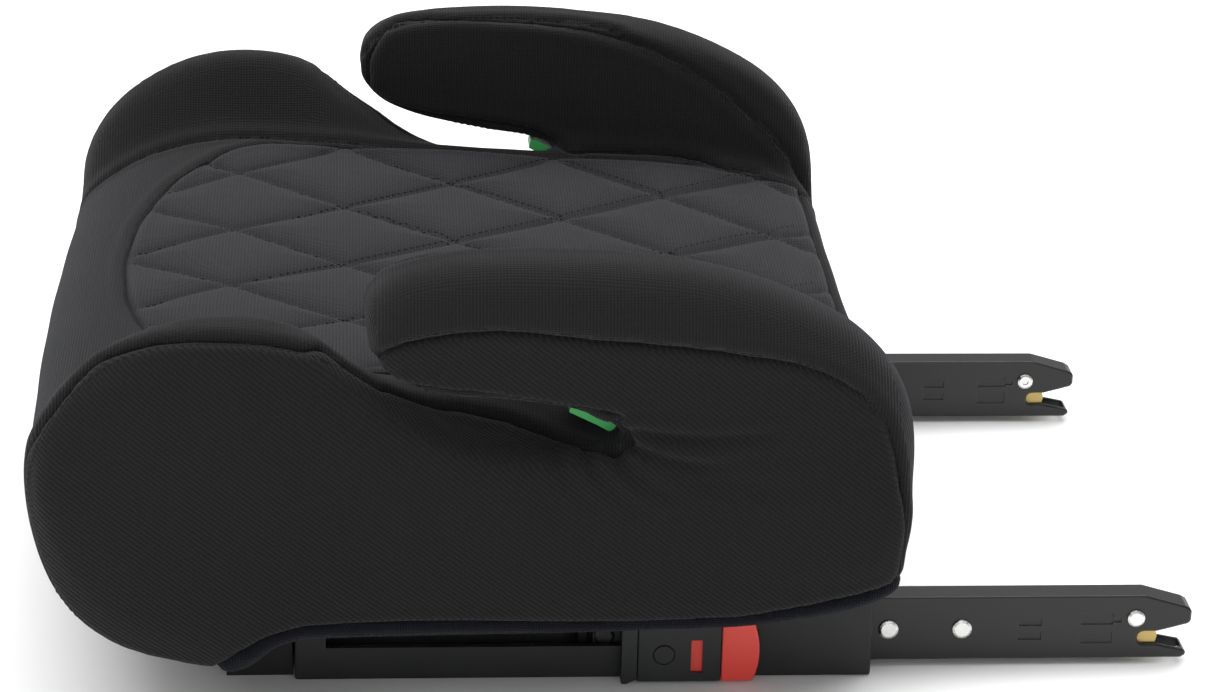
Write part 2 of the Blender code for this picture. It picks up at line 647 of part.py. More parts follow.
def make_end_plug(word, side, plastic):
    """The block in the arm's front end, which keeps the channel from closing and guides it."""
    low = (ARM_FRONT - 4, ARM_IN + ARM_WALL + GAP, ARM_BOTTOM + 1)
    high = (ARM_FRONT + 20, ARM_OUT - ARM_WALL - GAP, ARM_TOP - ARM_WALL - GAP)
    plug = box(f"{word}_arm_end_plug", low, high, plastic, side)
    add_box(plug, (low[0], ARM_IN, ARM_BOTTOM), (ARM_FRONT - GAP, ARM_OUT, ARM_TOP), side)
    centre = rivet_places()["carriage_rivet"]
    return cut_hole(plug, centre, RIVET_RADIUS + GAP, ARM_IN - 5, ARM_OUT + 5, side)


def make_carriage(word, side, plastic):
    """The plate on the arm inside the rail, its neck through the slot and the flared collar outside."""
    plate_low = (ARM_FRONT + 2, ARM_OUT + GAP, ARM_BOTTOM + 1)
    plate_high = (BUTTON_REAR + BUTTON_TRAVEL, CARRIAGE_OUT, ARM_TOP - 1)
    carriage = box(f"{word}_slider_carriage", plate_low, plate_high, plastic, side)
    window_low = (CAP_FRONT + 6.5, ARM_OUT - 5, SLOT_Z - 9.5)
    cut_box(carriage, window_low, (BUTTON_REAR + 0.6, CARRIAGE_OUT + 5, SLOT_Z + 9), side)
    centre = rivet_places()["carriage_rivet"]
    cut_hole(carriage, centre, RIVET_RADIUS + GAP, ARM_OUT - 5, CAVITY_OUT, side)
    neck_half = SLOT_HEIGHT / 2 - GAP
    neck_low = (COLLAR_FRONT, CARRIAGE_OUT - 1, SLOT_Z - neck_half)
    add_box(carriage, neck_low, (CAP_FRONT - 1, SLIDER_IN + 1, SLOT_Z + neck_half), side)
    low = CAP_BOTTOM - 0.5
    high = CAP_BOTTOM + CAP_HEIGHT + 0.6
    narrow = CAP_FRONT - 1
    flare = [(COLLAR_FRONT, low), (COLLAR_FRONT, high), (COLLAR_FRONT + 2.2, high), (narrow, high - 2.2)]
    flare += [(CAP_FRONT - GAP, high - 2.2), (CAP_FRONT - GAP, low + 1.8), (narrow, low + 1.8)]
    flare += [(COLLAR_FRONT + 2.2, low)]
    collar = solid("collar", *prism_shape(flare, SLIDER_IN, SLIDER_OUT + 0.6), plastic, side)
    return combine(carriage, collar, "UNION")


def make_cap(word, side, plastic):
    """The hollow grey block on the slider, with the state window and the adjuster's hole."""
    top = CAP_BOTTOM + CAP_HEIGHT
    low = (CAP_FRONT, SLIDER_IN, CAP_BOTTOM)
    cap = box(f"{word}_slider_cap", low, (CAP_REAR, SLIDER_OUT, top), plastic, side)
    soften(cap, 0.6)
    low = (CAP_FRONT + CAP_WALL, SLIDER_IN - 5, CAP_BOTTOM + CAP_WALL)
    cut_box(cap, low, (CAP_REAR + 5, SLIDER_OUT - CAP_WALL, top - CAP_WALL), side)
    wide, tall = WINDOW_SIZE
    z = window_centre()
    window_low = (WINDOW_X - wide / 2, SLIDER_OUT - 5, z - tall / 2)
    cut_box(cap, window_low, (WINDOW_X + wide / 2, SLIDER_OUT + 5, z + tall / 2), side)
    centre = (ADJUSTER_X, adjuster_centre())
    return cut_hole(cap, centre, ADJUSTER_RADIUS + GAP, SLIDER_OUT - 5, SLIDER_OUT + 5, side)


def window_centre():
    return CAP_BOTTOM + CAP_HEIGHT / 2 - 1.8


def adjuster_centre():
    return CAP_BOTTOM + CAP_HEIGHT / 2 - 0.9


def stem_heights():
    """Where the flag's stem runs out through the upper half of the slot."""
    return SLOT_Z, SLOT_Z + SLOT_HEIGHT / 2 - 1.2


def make_backing(word, side, green):
    """The green plate that the window shows once the red flag has slid away, with a slot for its stem."""
    wide, tall = WINDOW_SIZE
    inner = CAP_WALL + GAP
    plate_in = SLIDER_OUT - CAP_WALL - 3.6
    low = (WINDOW_X - wide / 2 - 0.2, plate_in, CAP_BOTTOM + inner)
    high = (WINDOW_X + wide / 2 + 1.2, plate_in + 1, CAP_BOTTOM + CAP_HEIGHT - inner)
    backing = box(f"{word}_window_backing", low, high, green, side)
    stem_low, stem_high = stem_heights()
    slot_low = (low[0] - 5, low[1] - 5, stem_low - GAP)
    return cut_box(backing, slot_low, (WINDOW_X + 1.2 + GAP, high[1] + 5, stem_high + GAP), side)


def make_flag(word, side, red):
    """The red state flag behind the window, with the stem that the trigger's rod moves."""
    wide, tall = WINDOW_SIZE
    z = window_centre()
    face_in = SLIDER_OUT - CAP_WALL - 1.6
    low = (WINDOW_X - wide / 2 - 0.4, face_in, z - tall / 2 - 0.6)
    high = (WINDOW_X + wide / 2 + 0.4, SLIDER_OUT - CAP_WALL - GAP, z + tall / 2 + 0.6)
    start = (WINDOW_X, ARM_Y, RIVET_Z - 6.15)
    flag = box(f"{word}_state_flag", low, high, red, side, start)
    root = ARM_Y + ROD / 2 + GAP
    stem_low, stem_high = stem_heights()
    add_box(flag, (WINDOW_X - 2.2, root, stem_low), (WINDOW_X + 1.2, face_in + 0.5, stem_high), side)
    foot_low = (WINDOW_X - 2.2, root, RIVET_Z - 7.65)
    return add_box(flag, foot_low, (WINDOW_X + 1.2, root + 1.6, stem_low + 1), side)


def make_adjuster(word, side, plastic):
    """The round push button that lifts the ratchet tooth out of the rail's rack."""
    z = adjuster_centre()
    face = SLIDER_OUT + 0.4
    profile = [(SLIDER_OUT - 3.4, ADJUSTER_RADIUS), (face - 0.5, ADJUSTER_RADIUS)]
    profile.append((face, ADJUSTER_RADIUS - 0.5))
    start = (ADJUSTER_X, SLIDER_OUT, z)
    name = f"{word}_adjuster_button"
    button = solid(name, *turned_shape(profile, (ADJUSTER_X, z), 24), plastic, side, start)
    stem_half = SLOT_HEIGHT / 2 - 1.2
    pawl_in = ARM_OUT + 1
    low = (ADJUSTER_X - 2.5, pawl_in, SLOT_Z - stem_half)
    add_box(button, low, (ADJUSTER_X + 2.5, SLIDER_OUT - 3, SLOT_Z + stem_half - 1), side)
    rack_low = SLOT_Z + SLOT_HEIGHT / 2 + RACK_ABOVE_SLOT
    add_box(button, (low[0], pawl_in, low[2]), (ADJUSTER_X + 2.5, pawl_in + 2, rack_low + 3.5), side)
    tooth_tip = CAVITY_OUT - RACK_DEPTH - GAP
    add_box(button, (low[0] + 1, pawl_in, rack_low), (low[0] + 3, tooth_tip, rack_low + 3.5), side)
    smooth_shading(button)
    return button


def make_release(word, side, red, steel):
    """The red release button with its convex end, and the rod that it pulls."""
    top = CAP_BOTTOM + CAP_HEIGHT
    middle = (top + CAP_BOTTOM) / 2
    half = CAP_HEIGHT / 2
    front = CAP_REAR + GAP
    bulge = 2.6
    outline = [(front, CAP_BOTTOM), (front, top)]
    for i in range(9):
        share = 1 - i / 4
        outline.append((BUTTON_REAR - bulge * share * share, middle + half * share))
    start = (front, SLIDER_IN, SLOT_Z)
    button = prism(f"{word}_release_button", outline, SLIDER_IN, SLIDER_OUT, red, side, start)
    soften(button, 0.8)
    hollow_low = (front - 5, SLIDER_IN - 5, CAP_BOTTOM + 2)
    cut_box(button, hollow_low, (BUTTON_REAR - bulge - 2, SLIDER_OUT - 2, top - 2), side)
    stem_half = SLOT_HEIGHT / 2 - 1.2
    stem_x = (front + 2.2, front + 7.7)
    root = ARM_Y + ROD / 2 + GAP
    stem_low = (stem_x[0], root, SLOT_Z - stem_half)
    add_box(button, stem_low, (stem_x[1], SLIDER_OUT - 1, SLOT_Z + stem_half), side)
    rod_z = ARM_TOP - ARM_WALL - 3.9 - ROD
    add_box(button, (stem_x[0], root, SLOT_Z), (stem_x[1], root + 2, rod_z + ROD), side)
    rod_rear = PIVOT[0] - BUTTON_TRAVEL - 7.5
    low = (stem_x[0], ARM_Y - ROD / 2, rod_z)
    return box(f"{word}_release_rod", low, (rod_rear, ARM_Y + ROD / 2, rod_z + ROD), steel, side, low)


def make_latch(word, side, steel):
    """The hook that turns on the jaw's rivet and closes over the anchor bar."""
    x, z = PIVOT
    places = [(-2.5, -5.0), (-6.2, -2.7), (-6.8, 2.6), (-2.2, 6.4), (4.0, 6.2), (12.5, 4.6), (19.4, 2.0)]
    places += [(19.2, -1.7), (15.0, -1.9), (9.4, -0.6), (6.4, -3.4), (2.4, -5.2)]
    outline = [(x + dx, z + dz) for dx, dz in places]
    half = 2.5
    name = f"{word}_latch_hook"
    hook = prism(name, outline, ARM_Y - half, ARM_Y + half, steel, side, (x, ARM_Y, z))
    return cut_hole(hook, PIVOT, RIVET_RADIUS + GAP, ARM_Y - 9, ARM_Y + 9, side)


def make_trigger(word, side, yellow, steel):
    """The slide in the jaw's inner end, which the anchor bar pushes in, and its rod to the flag."""
    centre_z = RIVET_Z - 5.45
    half = 2.9
    rear = ARM_TIP - 15.2
    nose = ARM_TIP - 20.6
    outline = [(nose - 9, centre_z - half), (nose - 9, centre_z + half), (rear, centre_z + half)]
    outline += [(rear + 0.8, centre_z), (rear, centre_z - half)]
    start = (nose, ARM_Y, centre_z)
    trigger_y = (ARM_IN + ARM_WALL + 0.5, ARM_OUT - ARM_WALL - 0.5)
    prism(f"{word}_bar_trigger", outline, *trigger_y, yellow, side, start)
    low = (WINDOW_X - 3, ARM_Y - ROD / 2, RIVET_Z - 7.65)
    return box(f"{word}_trigger_rod", low, (nose - 9 - GAP, ARM_Y + ROD / 2, low[2] + ROD), steel, side, low)


def main():
    clear_scene()
    fabric = material("black_knit", (0.035, 0.035, 0.037), 0.92)
    quilting = material("grey_ribbed_knit", (0.055, 0.055, 0.058), 0.95)
    binding = material("navy_black_binding", (0.014, 0.015, 0.022), 0.9)
    foam = material("grey_foam", (0.35, 0.35, 0.36), 0.95)
    plastic = material("black_moulded_plastic", (0.022, 0.022, 0.022), 0.5)
    grey = material("grey_moulded_plastic", (0.04, 0.042, 0.044), 0.45)
    rail = material("rail_plastic", (0.028, 0.03, 0.029), 0.5)
    rubber = material("grip_rubber", (0.02, 0.02, 0.02), 0.9)
    green = material("green_plastic", (0.05, 0.45, 0.12), 0.45)
    red = material("red_plastic", (0.82, 0.1, 0.07), 0.38)
    yellow = material("yellow_plastic", (0.68, 0.5, 0.18), 0.45)
    painted = material("black_painted_steel", (0.025, 0.025, 0.025), 0.4, 0.3)
    steel = material("zinc_plated_steel", (0.75, 0.75, 0.74), 0.25, 1.0)

    make_cover(fabric, quilting, binding)
    make_foam(foam)
    make_shell(plastic)
    make_belt_guides(green)
    make_base(plastic, rubber, steel)
    for word, side in (("left", -1), ("right", 1)):
        make_rail(word, side, rail, steel)
        make_arm(word, side, painted)
        make_rivets(word, side, steel)
        make_end_plug(word, side, plastic)
        make_carriage(word, side, grey)
        make_cap(word, side, grey)
        make_backing(word, side, green)
        make_flag(word, side, red)
        make_adjuster(word, side, grey)
        make_release(word, side, red, steel)
        make_latch(word, side, steel)
        make_trigger(word, side, yellow, steel)


main()
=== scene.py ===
"""How the booster seat looks: its fabric cover, every material, the studio and the camera.

Lengths are in millimetres here and become metres where a mesh is made. +X is the rear, +Y is the child's
right and +Z is up. Both sides are the same, so side shapes use y as the distance from the middle.
"""

import json
import math

import bmesh
import bpy
import numpy as np
from mathutils import Matrix, Vector
from mathutils.bvhtree import BVHTree
from mathutils.kdtree import KDTree


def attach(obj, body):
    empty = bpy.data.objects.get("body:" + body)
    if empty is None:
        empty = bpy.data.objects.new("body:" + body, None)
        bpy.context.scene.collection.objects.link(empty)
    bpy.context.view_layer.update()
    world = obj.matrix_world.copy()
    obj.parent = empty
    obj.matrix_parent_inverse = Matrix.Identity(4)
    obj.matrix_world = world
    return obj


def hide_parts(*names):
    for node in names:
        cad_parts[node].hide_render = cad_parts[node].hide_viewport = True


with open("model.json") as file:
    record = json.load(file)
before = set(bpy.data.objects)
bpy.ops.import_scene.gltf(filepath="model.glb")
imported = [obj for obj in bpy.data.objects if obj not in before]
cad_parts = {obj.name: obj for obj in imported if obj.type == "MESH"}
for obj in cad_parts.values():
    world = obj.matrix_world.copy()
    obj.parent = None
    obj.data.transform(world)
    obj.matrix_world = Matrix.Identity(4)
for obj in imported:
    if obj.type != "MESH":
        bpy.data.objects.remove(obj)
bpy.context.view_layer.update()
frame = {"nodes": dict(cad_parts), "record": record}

MM = 0.001
FLOOR_REACH = 9000.0
SIDES = {"left": -1, "right": 1}

# ---- Sizes of the padded body ----
HALF_WIDTH = 205.0
RIDGE = 185.0
PAN = 155.0
ARMREST_INNER = 164.0
ARMREST_STEP = 1.2  # the armrest's faces lie this far inside the body's
BOW = 6.0
FRONT = -250.0
BOW_REAR = -64.0
VOXEL = 3.6
OPENING = (-166.0, 104.0, 182.0)  # the open underside: its front, its rear and half its width
OPENING_TOP = 62.0
TIP_LIFT = 7.0  # the armrest's tip is this much higher towards the child
TAPE_LIFT = -0.8  # the hem tape lies on the cover
FABRIC_THICKNESS = 2.0
STITCH_LENGTH = 2.4
STITCH_RADIUS = 0.3
STITCH_LIFT = -0.05
TOP_ABOVE = 100.0  # the seat's upper surface lies above this height

# Outlines in x and z, front-bottom first, then up the front, over the top and down the rear.
PAN_CENTRE = [
    (-172, 22), (-214, 32), (-241, 54), (-250, 88), (-248, 110), (-238, 125), (-215, 138), (-174, 141),
    (-130, 138), (-100, 136), (-60, 134), (-10, 131), (50, 126), (98, 121), (115, 114), (120, 100),
    (119, 78), (111, 54), (60, 42), (-60, 38), (-120, 37), (-146, 34), (-160, 23),
]
PAN_EDGE = [
    (-172, 22), (-214, 32), (-241, 54), (-250, 88), (-248, 110), (-236, 124), (-212, 138), (-176, 146),
    (-130, 145), (-100, 143), (-60, 141), (-10, 138), (50, 134), (98, 126), (115, 118), (121, 102),
    (119, 78), (111, 54), (60, 42), (-60, 38), (-120, 37), (-146, 34), (-160, 23),
]
BOLSTER = [
    (-172, 22), (-214, 33), (-238, 56), (-249, 92), (-249, 126), (-235, 152), (-210, 172), (-176, 182),
    (-140, 178), (-112, 157), (-72, 132), (-23, 126), (40, 130), (95, 130), (113, 122), (121, 104),
    (119, 78), (111, 54), (60, 42), (-60, 38), (-120, 37), (-146, 34), (-160, 23),
]
SIDE_CROWN = [
    (-160, 64), (-196, 74), (-220, 88), (-235, 104), (-237, 122), (-226, 140), (-206, 155), (-174, 163),
    (-140, 160), (-115, 144), (-76, 122), (-26, 114), (36, 116), (86, 116), (102, 108), (109, 98),
    (107, 90), (99, 82), (56, 76), (-50, 73), (-104, 71), (-130, 67), (-146, 65),
]
ARMREST = [
    (-99, 158), (-109, 171), (-110, 188), (-100, 199), (-80, 205), (-40, 207), (0, 205), (36, 200),
    (70, 188), (98, 171), (115, 149), (121, 122), (119, 90), (108, 66), (70, 62), (30, 84), (8, 118),
    (-5, 134), (-22, 143), (-52, 148), (-80, 151),
]
ARMREST_CROWN = [
    (-92, 161), (-99, 168), (-99, 175), (-93, 180), (-76, 182), (-40, 183), (0, 180), (30, 176), (60, 167),
    (84, 153), (99, 134), (106, 112), (104, 98), (92, 84), (64, 84), (36, 100), (14, 124), (2, 138),
    (-18, 148), (-48, 153), (-74, 154),
]

# ---- Seams, as points on the cover: x, y from the middle, z ----
SIDE_SEAM = [
    (-232, 186, 44), (-246, 188, 66), (-254, 191, 90), (-253, 197, 108), (-247, 200, 128), (-235, 200, 148),
    (-217, 200, 166), (-189, 200, 175), (-153, 200, 175), (-128, 198, 168), (-108, 190, 158),
    (-90, 180, 147), (-70, 174, 136), (-50, 175, 130), (-34, 182, 130), (-20, 190, 131), (-10, 197, 136),
    (-4, 200, 143),
]
ARMREST_SEAM = [
    (-22, 197, 146), (-52, 197, 151), (-82, 197, 155), (-101, 200, 160), (-105, 203, 169), (-96, 203, 175),
    (-80, 203, 179), (-52, 203, 181), (-15, 203, 177), (27, 203, 173), (64, 203, 167), (81, 203, 161),
    (96, 203, 151), (107, 203, 136), (113, 203, 115), (117, 202, 94), (116, 198, 70),
]
LINING_TOP_SEAM = [
    (-106, 170, 186), (-98, 170, 199), (-82, 170, 204), (-55, 170, 205), (-20, 170, 203), (10, 170, 198),
    (40, 170, 187), (66, 170, 172), (88, 168, 153), (103, 166, 138), (113, 164, 124), (119, 160, 112),
    (119, 158, 88), (113, 158, 62),
]
LINING_LOW_SEAM = [
    (-107, 170, 180), (-106, 170, 168), (-98, 170, 161), (-75, 170, 155), (-45, 170, 151), (-22, 170, 146),
    (-8, 170, 139), (14, 166, 138), (50, 160, 136), (90, 157, 127), (112, 156, 119),
]
PAN_SEAM = [
    (-236, 150, 52), (-250, 152, 84), (-249, 154, 104), (-240, 155, 117), (-221, 155, 131),
    (-196, 155, 143), (-168, 155, 147), (-126, 155, 145), (-75, 155, 141), (-10, 155, 139),
    (50, 156, 134), (90, 157, 127),
]
# The quilted panel in plan, its right half.
QUILT_EDGE = [
    (-219, 0), (-218, 26), (-214, 60), (-203, 98), (-188, 124), (-168, 143), (-140, 150), (-60, 152),
    (112, 152),
]
RIM_X = 112.0
RIM_Z = 119.0
RIM_HALF_WIDTH = 157.0
RIM_BOTTOM = 45.0
LINING_IN = 152.0
LINING_OUT = 179.0

# The hem tape's upper edge, in x and z.
HEM_TOP = [
    (-172, 25), (-163, 34), (-153, 41), (-137, 46), (-95, 48), (6, 46), (49, 48), (74, 53), (95, 58),
    (124, 67),
]

# The diamond quilting: its grooves pass through alternate corners of a grid in plan.
QUILT_START = -170.0
QUILT_STEP = (52.2, 37.5)


# Under the armrest the side panel reaches in over the shoulder: x against the distance from the middle.
SHOULDER = [
    (-150, 190), (-128, 197), (-108, 190), (-90, 180), (-70, 174), (-50, 175), (-34, 182), (-20, 190),
    (-9, 196),
]
SHOULDER_TOP = 5.0
SHOULDER_Z = 150.0  # above this the side panel reaches in only as far as SIDE_IN
SIDE_IN = 190.0
FOLDS_FROM = 192.0
# The folds of the side panel, in x and z: start, end, depth and width.
FOLDS = [
    ((-8, 137), (62, 136), 2.6, 2.8), ((-8, 134), (40, 121), 2.2, 2.4), ((-12, 130), (20, 106), 2.2, 2.6),
    ((-20, 127), (4, 100), 1.5, 3.0), ((-32, 126), (-14, 102), 1.0, 3.4), ((24, 118), (84, 112), 0.9, 4.5),
]


# ---- Curves and meshes ----

def spline(points, steps, closed=False):
    """A smooth curve through the points, with this many steps between each two."""
    points = np.array(points, float)
    if closed:
        padded = np.vstack([points[-1:], points, points[:2]])
    else:
        padded = np.vstack([2 * points[:1] - points[1:2], points, 2 * points[-1:] - points[-2:-1]])
    share = np.linspace(0, 1, steps, endpoint=False)[:, None]
    pieces = []
    for a, b, c, d in zip(padded, padded[1:], padded[2:], padded[3:]):
        bend = 2 * a - 5 * b + 4 * c - d + share * (3 * (b - c) + d - a)
        pieces.append(b + 0.5 * share * (c - a + share * bend))
    if not closed:
        pieces.append(points[-1:])
    return np.vstack(pieces)


def evenly(line, pitch):
    """The line's points again, this far apart."""
    lengths = np.r_[0, np.cumsum(np.linalg.norm(np.diff(line, axis=0), axis=1))]
    count = max(2, int(lengths[-1] / pitch) + 1)
    places = np.linspace(0, lengths[-1], count)
    return np.column_stack([np.interp(places, lengths, line[:, k]) for k in range(line.shape[1])])


def mesh_object(name, vertices, faces):
    """An object from millimetre vertices."""
    mesh = bpy.data.meshes.new(name)
    mesh.from_pydata((np.asarray(vertices) * MM).tolist(), [], [tuple(face) for face in faces])
    mesh.update()
    made = bpy.data.objects.new(name, mesh)
    bpy.context.scene.collection.objects.link(made)
    return made


def points_of(obj):
    points = np.empty(len(obj.data.vertices) * 3)
    obj.data.vertices.foreach_get("co", points)
    return points.reshape(-1, 3) / MM


def normals_of(obj):
    normals = np.empty(len(obj.data.vertices) * 3)
    obj.data.vertices.foreach_get("normal", normals)
    return normals.reshape(-1, 3)


def set_points(obj, points):
    obj.data.vertices.foreach_set("co", (points * MM).ravel())
    obj.data.update()


def apply_modifiers(obj):
    bpy.context.view_layer.update()
    result = bpy.data.meshes.new_from_object(obj.evaluated_get(bpy.context.evaluated_depsgraph_get()))
    obj.modifiers.clear()
    obj.data = result


def loft(name, sections):
    """Closed outlines joined along Y, each section being (y, outline)."""
    count = len(sections[0][1])
    rings = [np.column_stack([part[:, 0], np.full(count, y), part[:, 1]]) for y, part in sections]
    vertices = np.vstack(rings)
    last = (len(sections) - 1) * count
    faces = [tuple(reversed(range(count))), tuple(range(last, last + count))]
    for ring in range(len(sections) - 1):
        start = ring * count
        for i in range(count):
            j = (i + 1) % count
            faces.append((start + i, start + j, start + count + j, start + count + i))
    return mesh_object(name, vertices, faces)


def round_over(share):
    return 1 - math.sqrt(max(0.0, 1 - share * share))


def ease(share):
    return share * share * (3 - 2 * share)


def bowed(outline, y):
    """The front bows forwards in the middle."""
    bow = BOW * (1 - min(1.0, abs(y) / RIDGE) ** 2)
    share = np.clip((BOW_REAR - outline[:, 0]) / (BOW_REAR - FRONT), 0, 1)
    return outline - np.column_stack([bow * share, np.zeros(len(outline))])


def body_form():
    """The seat pad between its two bolsters, lofted from side to side."""
    outlines = (PAN_CENTRE, PAN_EDGE, BOLSTER, SIDE_CROWN)
    centre, edge, ridge, crown = [spline(outline, 7, True) for outline in outlines]
    half = [(PAN * s, centre + (edge - centre) * s * s) for s in np.linspace(0, 1, 14)]
    half += [(PAN + (RIDGE - PAN) * s, edge + (ridge - edge) * ease(s)) for s in np.linspace(0, 1, 9)[1:]]
    for s in np.sin(np.linspace(0, math.pi / 2, 12))[1:]:
        half.append((RIDGE + (HALF_WIDTH - RIDGE) * s, ridge + (crown - ridge) * round_over(s)))
    half = [(y, bowed(outline, y)) for y, outline in half]
    return loft("body_form", [(-y, outline) for y, outline in reversed(half[1:])] + half)


def armrest_form(side):
    """One armrest, rounded over towards its outer face."""
    ridge, crown = spline(ARMREST, 6, True), spline(ARMREST_CROWN, 6, True)
    tip = np.clip((-50 - ridge[:, 0]) / 45, 0, 1) * np.clip((180 - ridge[:, 1]) / 22, 0, 1)
    lift = np.column_stack([np.zeros(len(tip)), TIP_LIFT * tip])
    sections = []
    for s in np.sin(np.linspace(math.pi / 2, 0, 8)):
        inner = ridge + lift * (0.4 + 0.6 * s)
        sections.append((ARMREST_INNER + 12 * (1 - s), inner + (crown - ridge) * 0.3 * round_over(s)))
    start = RIDGE - ARMREST_STEP
    for s in np.sin(np.linspace(0, math.pi / 2, 12)):
        y = start + (HALF_WIDTH - ARMREST_STEP - start) * s
        sections.append((y, ridge + (crown - ridge) * round_over(s)))
    if side < 0:
        sections = [(-y, outline) for y, outline in reversed(sections)]
    return loft("armrest_form", sections)


def joined(objects):
    """One mesh of several, kept in the first."""
    blank = bmesh.new()
    for obj in objects:
        blank.from_mesh(obj.data)
    blank.to_mesh(objects[0].data)
    blank.free()
    for obj in objects[1:]:
        bpy.data.objects.remove(obj)
    return objects[0]


def remeshed(obj, voxel, passes):
    remesh = obj.modifiers.new("remesh", "REMESH")
    remesh.mode = "VOXEL"
    remesh.voxel_size = voxel * MM
    smooth = obj.modifiers.new("smooth", "SMOOTH")
    smooth.factor = 0.5
    smooth.iterations = passes
    apply_modifiers(obj)
    return obj


# ---- Where the seams and the quilting lie ----

def both_sides(points):
    """A seam drawn for the right side, as a curve on each side."""
    right = spline(points, 8)
    return [right, right * np.array([1, -1, 1])]


def quilt_outline():
    half = spline(QUILT_EDGE, 8)
    return np.vstack([half, (half * np.array([1, -1]))[::-1][:-1]])


def distance_to_outline(points, outline):
    """Signed distance in the plane from each point to a closed outline, positive inside."""
    starts, ends = outline, np.roll(outline, -1, axis=0)
    best = np.full(len(points), 1e9)
    inside = np.zeros(len(points), bool)
    for a, b in zip(starts, ends):
        edge = b - a
        share = np.clip(((points - a) @ edge) / max(1e-9, edge @ edge), 0, 1)
        best = np.minimum(best, np.linalg.norm(points - a - share[:, None] * edge, axis=1))
        crosses = (a[1] > points[:, 1]) != (b[1] > points[:, 1])
        rise = b[1] - a[1] if abs(b[1] - a[1]) > 1e-9 else 1e-9
        inside ^= crosses & (points[:, 0] < a[0] + (points[:, 1] - a[1]) * edge[0] / rise)
    return np.where(inside, best, -best)


def on_surface(line, tree):
    """The line's points moved to the nearest place on the cover."""
    found = [tree.find_nearest(Vector(point * MM)) for point in line]
    return np.array([place[0] for place in found]) / MM, np.array([place[1] for place in found])


def distance_to_lines(points, lines):
    every = np.vstack(lines)
    tree = KDTree(len(every))
    for i, point in enumerate(every):
        tree.insert(point, i)
    tree.balance()
    return np.array([tree.find(point)[2] for point in points])


def quilt_distance(points):
    """How far each point lies, in plan, from the nearest groove of the diamond quilting."""
    u = (points[:, 0] - QUILT_START) / QUILT_STEP[0]
    v = points[:, 1] / QUILT_STEP[1]
    slope = math.hypot(1 / QUILT_STEP[0], 1 / QUILT_STEP[1])
    near = [np.abs(line % 2 - 1) / slope for line in (u + v, u - v)]
    return np.minimum(*near)


def quilt_lines():
    """The quilting grooves in plan, kept inside the panel."""
    outline = quilt_outline()
    lines = []
    for offset in range(-9, 17, 2):
        for turn in (1, -1):
            x = np.linspace(-218, RIM_X, 240)
            y = turn * QUILT_STEP[1] * (offset - (x - QUILT_START) / QUILT_STEP[0])
            line = np.column_stack([x, y])
            line = line[distance_to_outline(line, outline) > 2]
            if len(line) > 8:
                lines.append(line)
    return lines


# ---- The cover ----

def inflate(obj, held, cap):
    """Lets the cover swell between its held seams as cloth under pressure, and caps how far it moves."""
    start = points_of(obj)
    group = obj.vertex_groups.new(name="held")
    for weight in (0.3, 0.6, 1.0):
        group.add(np.flatnonzero(held >= weight).tolist(), weight, "REPLACE")
    cloth = obj.modifiers.new("cloth", "CLOTH")
    cloth.settings.quality = 4
    cloth.settings.mass = 0.3
    cloth.settings.tension_stiffness = 25
    cloth.settings.compression_stiffness = 25
    cloth.settings.bending_stiffness = 2
    cloth.settings.vertex_group_mass = "held"
    cloth.settings.use_pressure = True
    cloth.settings.uniform_pressure_force = 4
    cloth.settings.effector_weights.gravity = 0
    cloth.collision_settings.use_collision = False
    cloth.point_cache.frame_start = 1
    cloth.point_cache.frame_end = 20
    scene = bpy.context.scene
    for number in range(1, 21):
        scene.frame_set(number)
    shaped = obj.evaluated_get(bpy.context.evaluated_depsgraph_get())
    ended = np.empty(len(start) * 3)
    shaped.data.vertices.foreach_get("co", ended)
    moved = ended.reshape(-1, 3) / MM - start
    length = np.maximum(1e-6, np.linalg.norm(moved, axis=1))
    print("cloth moved, mm: mean %.2f most %.2f" % (length.mean(), length.max()))
    obj.modifiers.clear()
    obj.vertex_groups.clear()
    scene.frame_set(1)
    set_points(obj, start + moved * (cap * (1 - np.exp(-length / cap)) / length)[:, None])


def snap(points, edges, value, limit=2.6):
    """Moves the nearer end of each edge that crosses value = 0 onto it, so that pieces part cleanly."""
    a, b = edges[:, 0], edges[:, 1]
    crossing = (value[a] > 0) != (value[b] > 0)
    a, b = a[crossing], b[crossing]
    share = value[a] / (value[a] - value[b])
    place = points[a] + (points[b] - points[a]) * share[:, None]
    nearer = np.where(share < 0.5, a, b)
    reach = np.linalg.norm(place - points[nearer], axis=1)
    order = np.argsort(-reach)
    order = order[reach[order] < limit]
    points = points.copy()
    points[nearer[order]] = place[order]
    return points


def side_outline():
    """The side panel's edge, in x and z, from the front over the seams to the rear and below."""
    seam = spline(SIDE_SEAM, 8)[:, [0, 2]]
    under = np.clip((seam[:, 0] + 135) / 20, 0, 1) * np.clip((-12 - seam[:, 0]) / 12, 0, 1)
    seam = seam + np.column_stack([np.zeros(len(seam)), SHOULDER_TOP * under])
    armrest = spline(ARMREST_SEAM, 8)[:, [0, 2]]
    return np.vstack([[(-300, 0), (-300, 96)], seam[24:], armrest, [(116, 0)]])


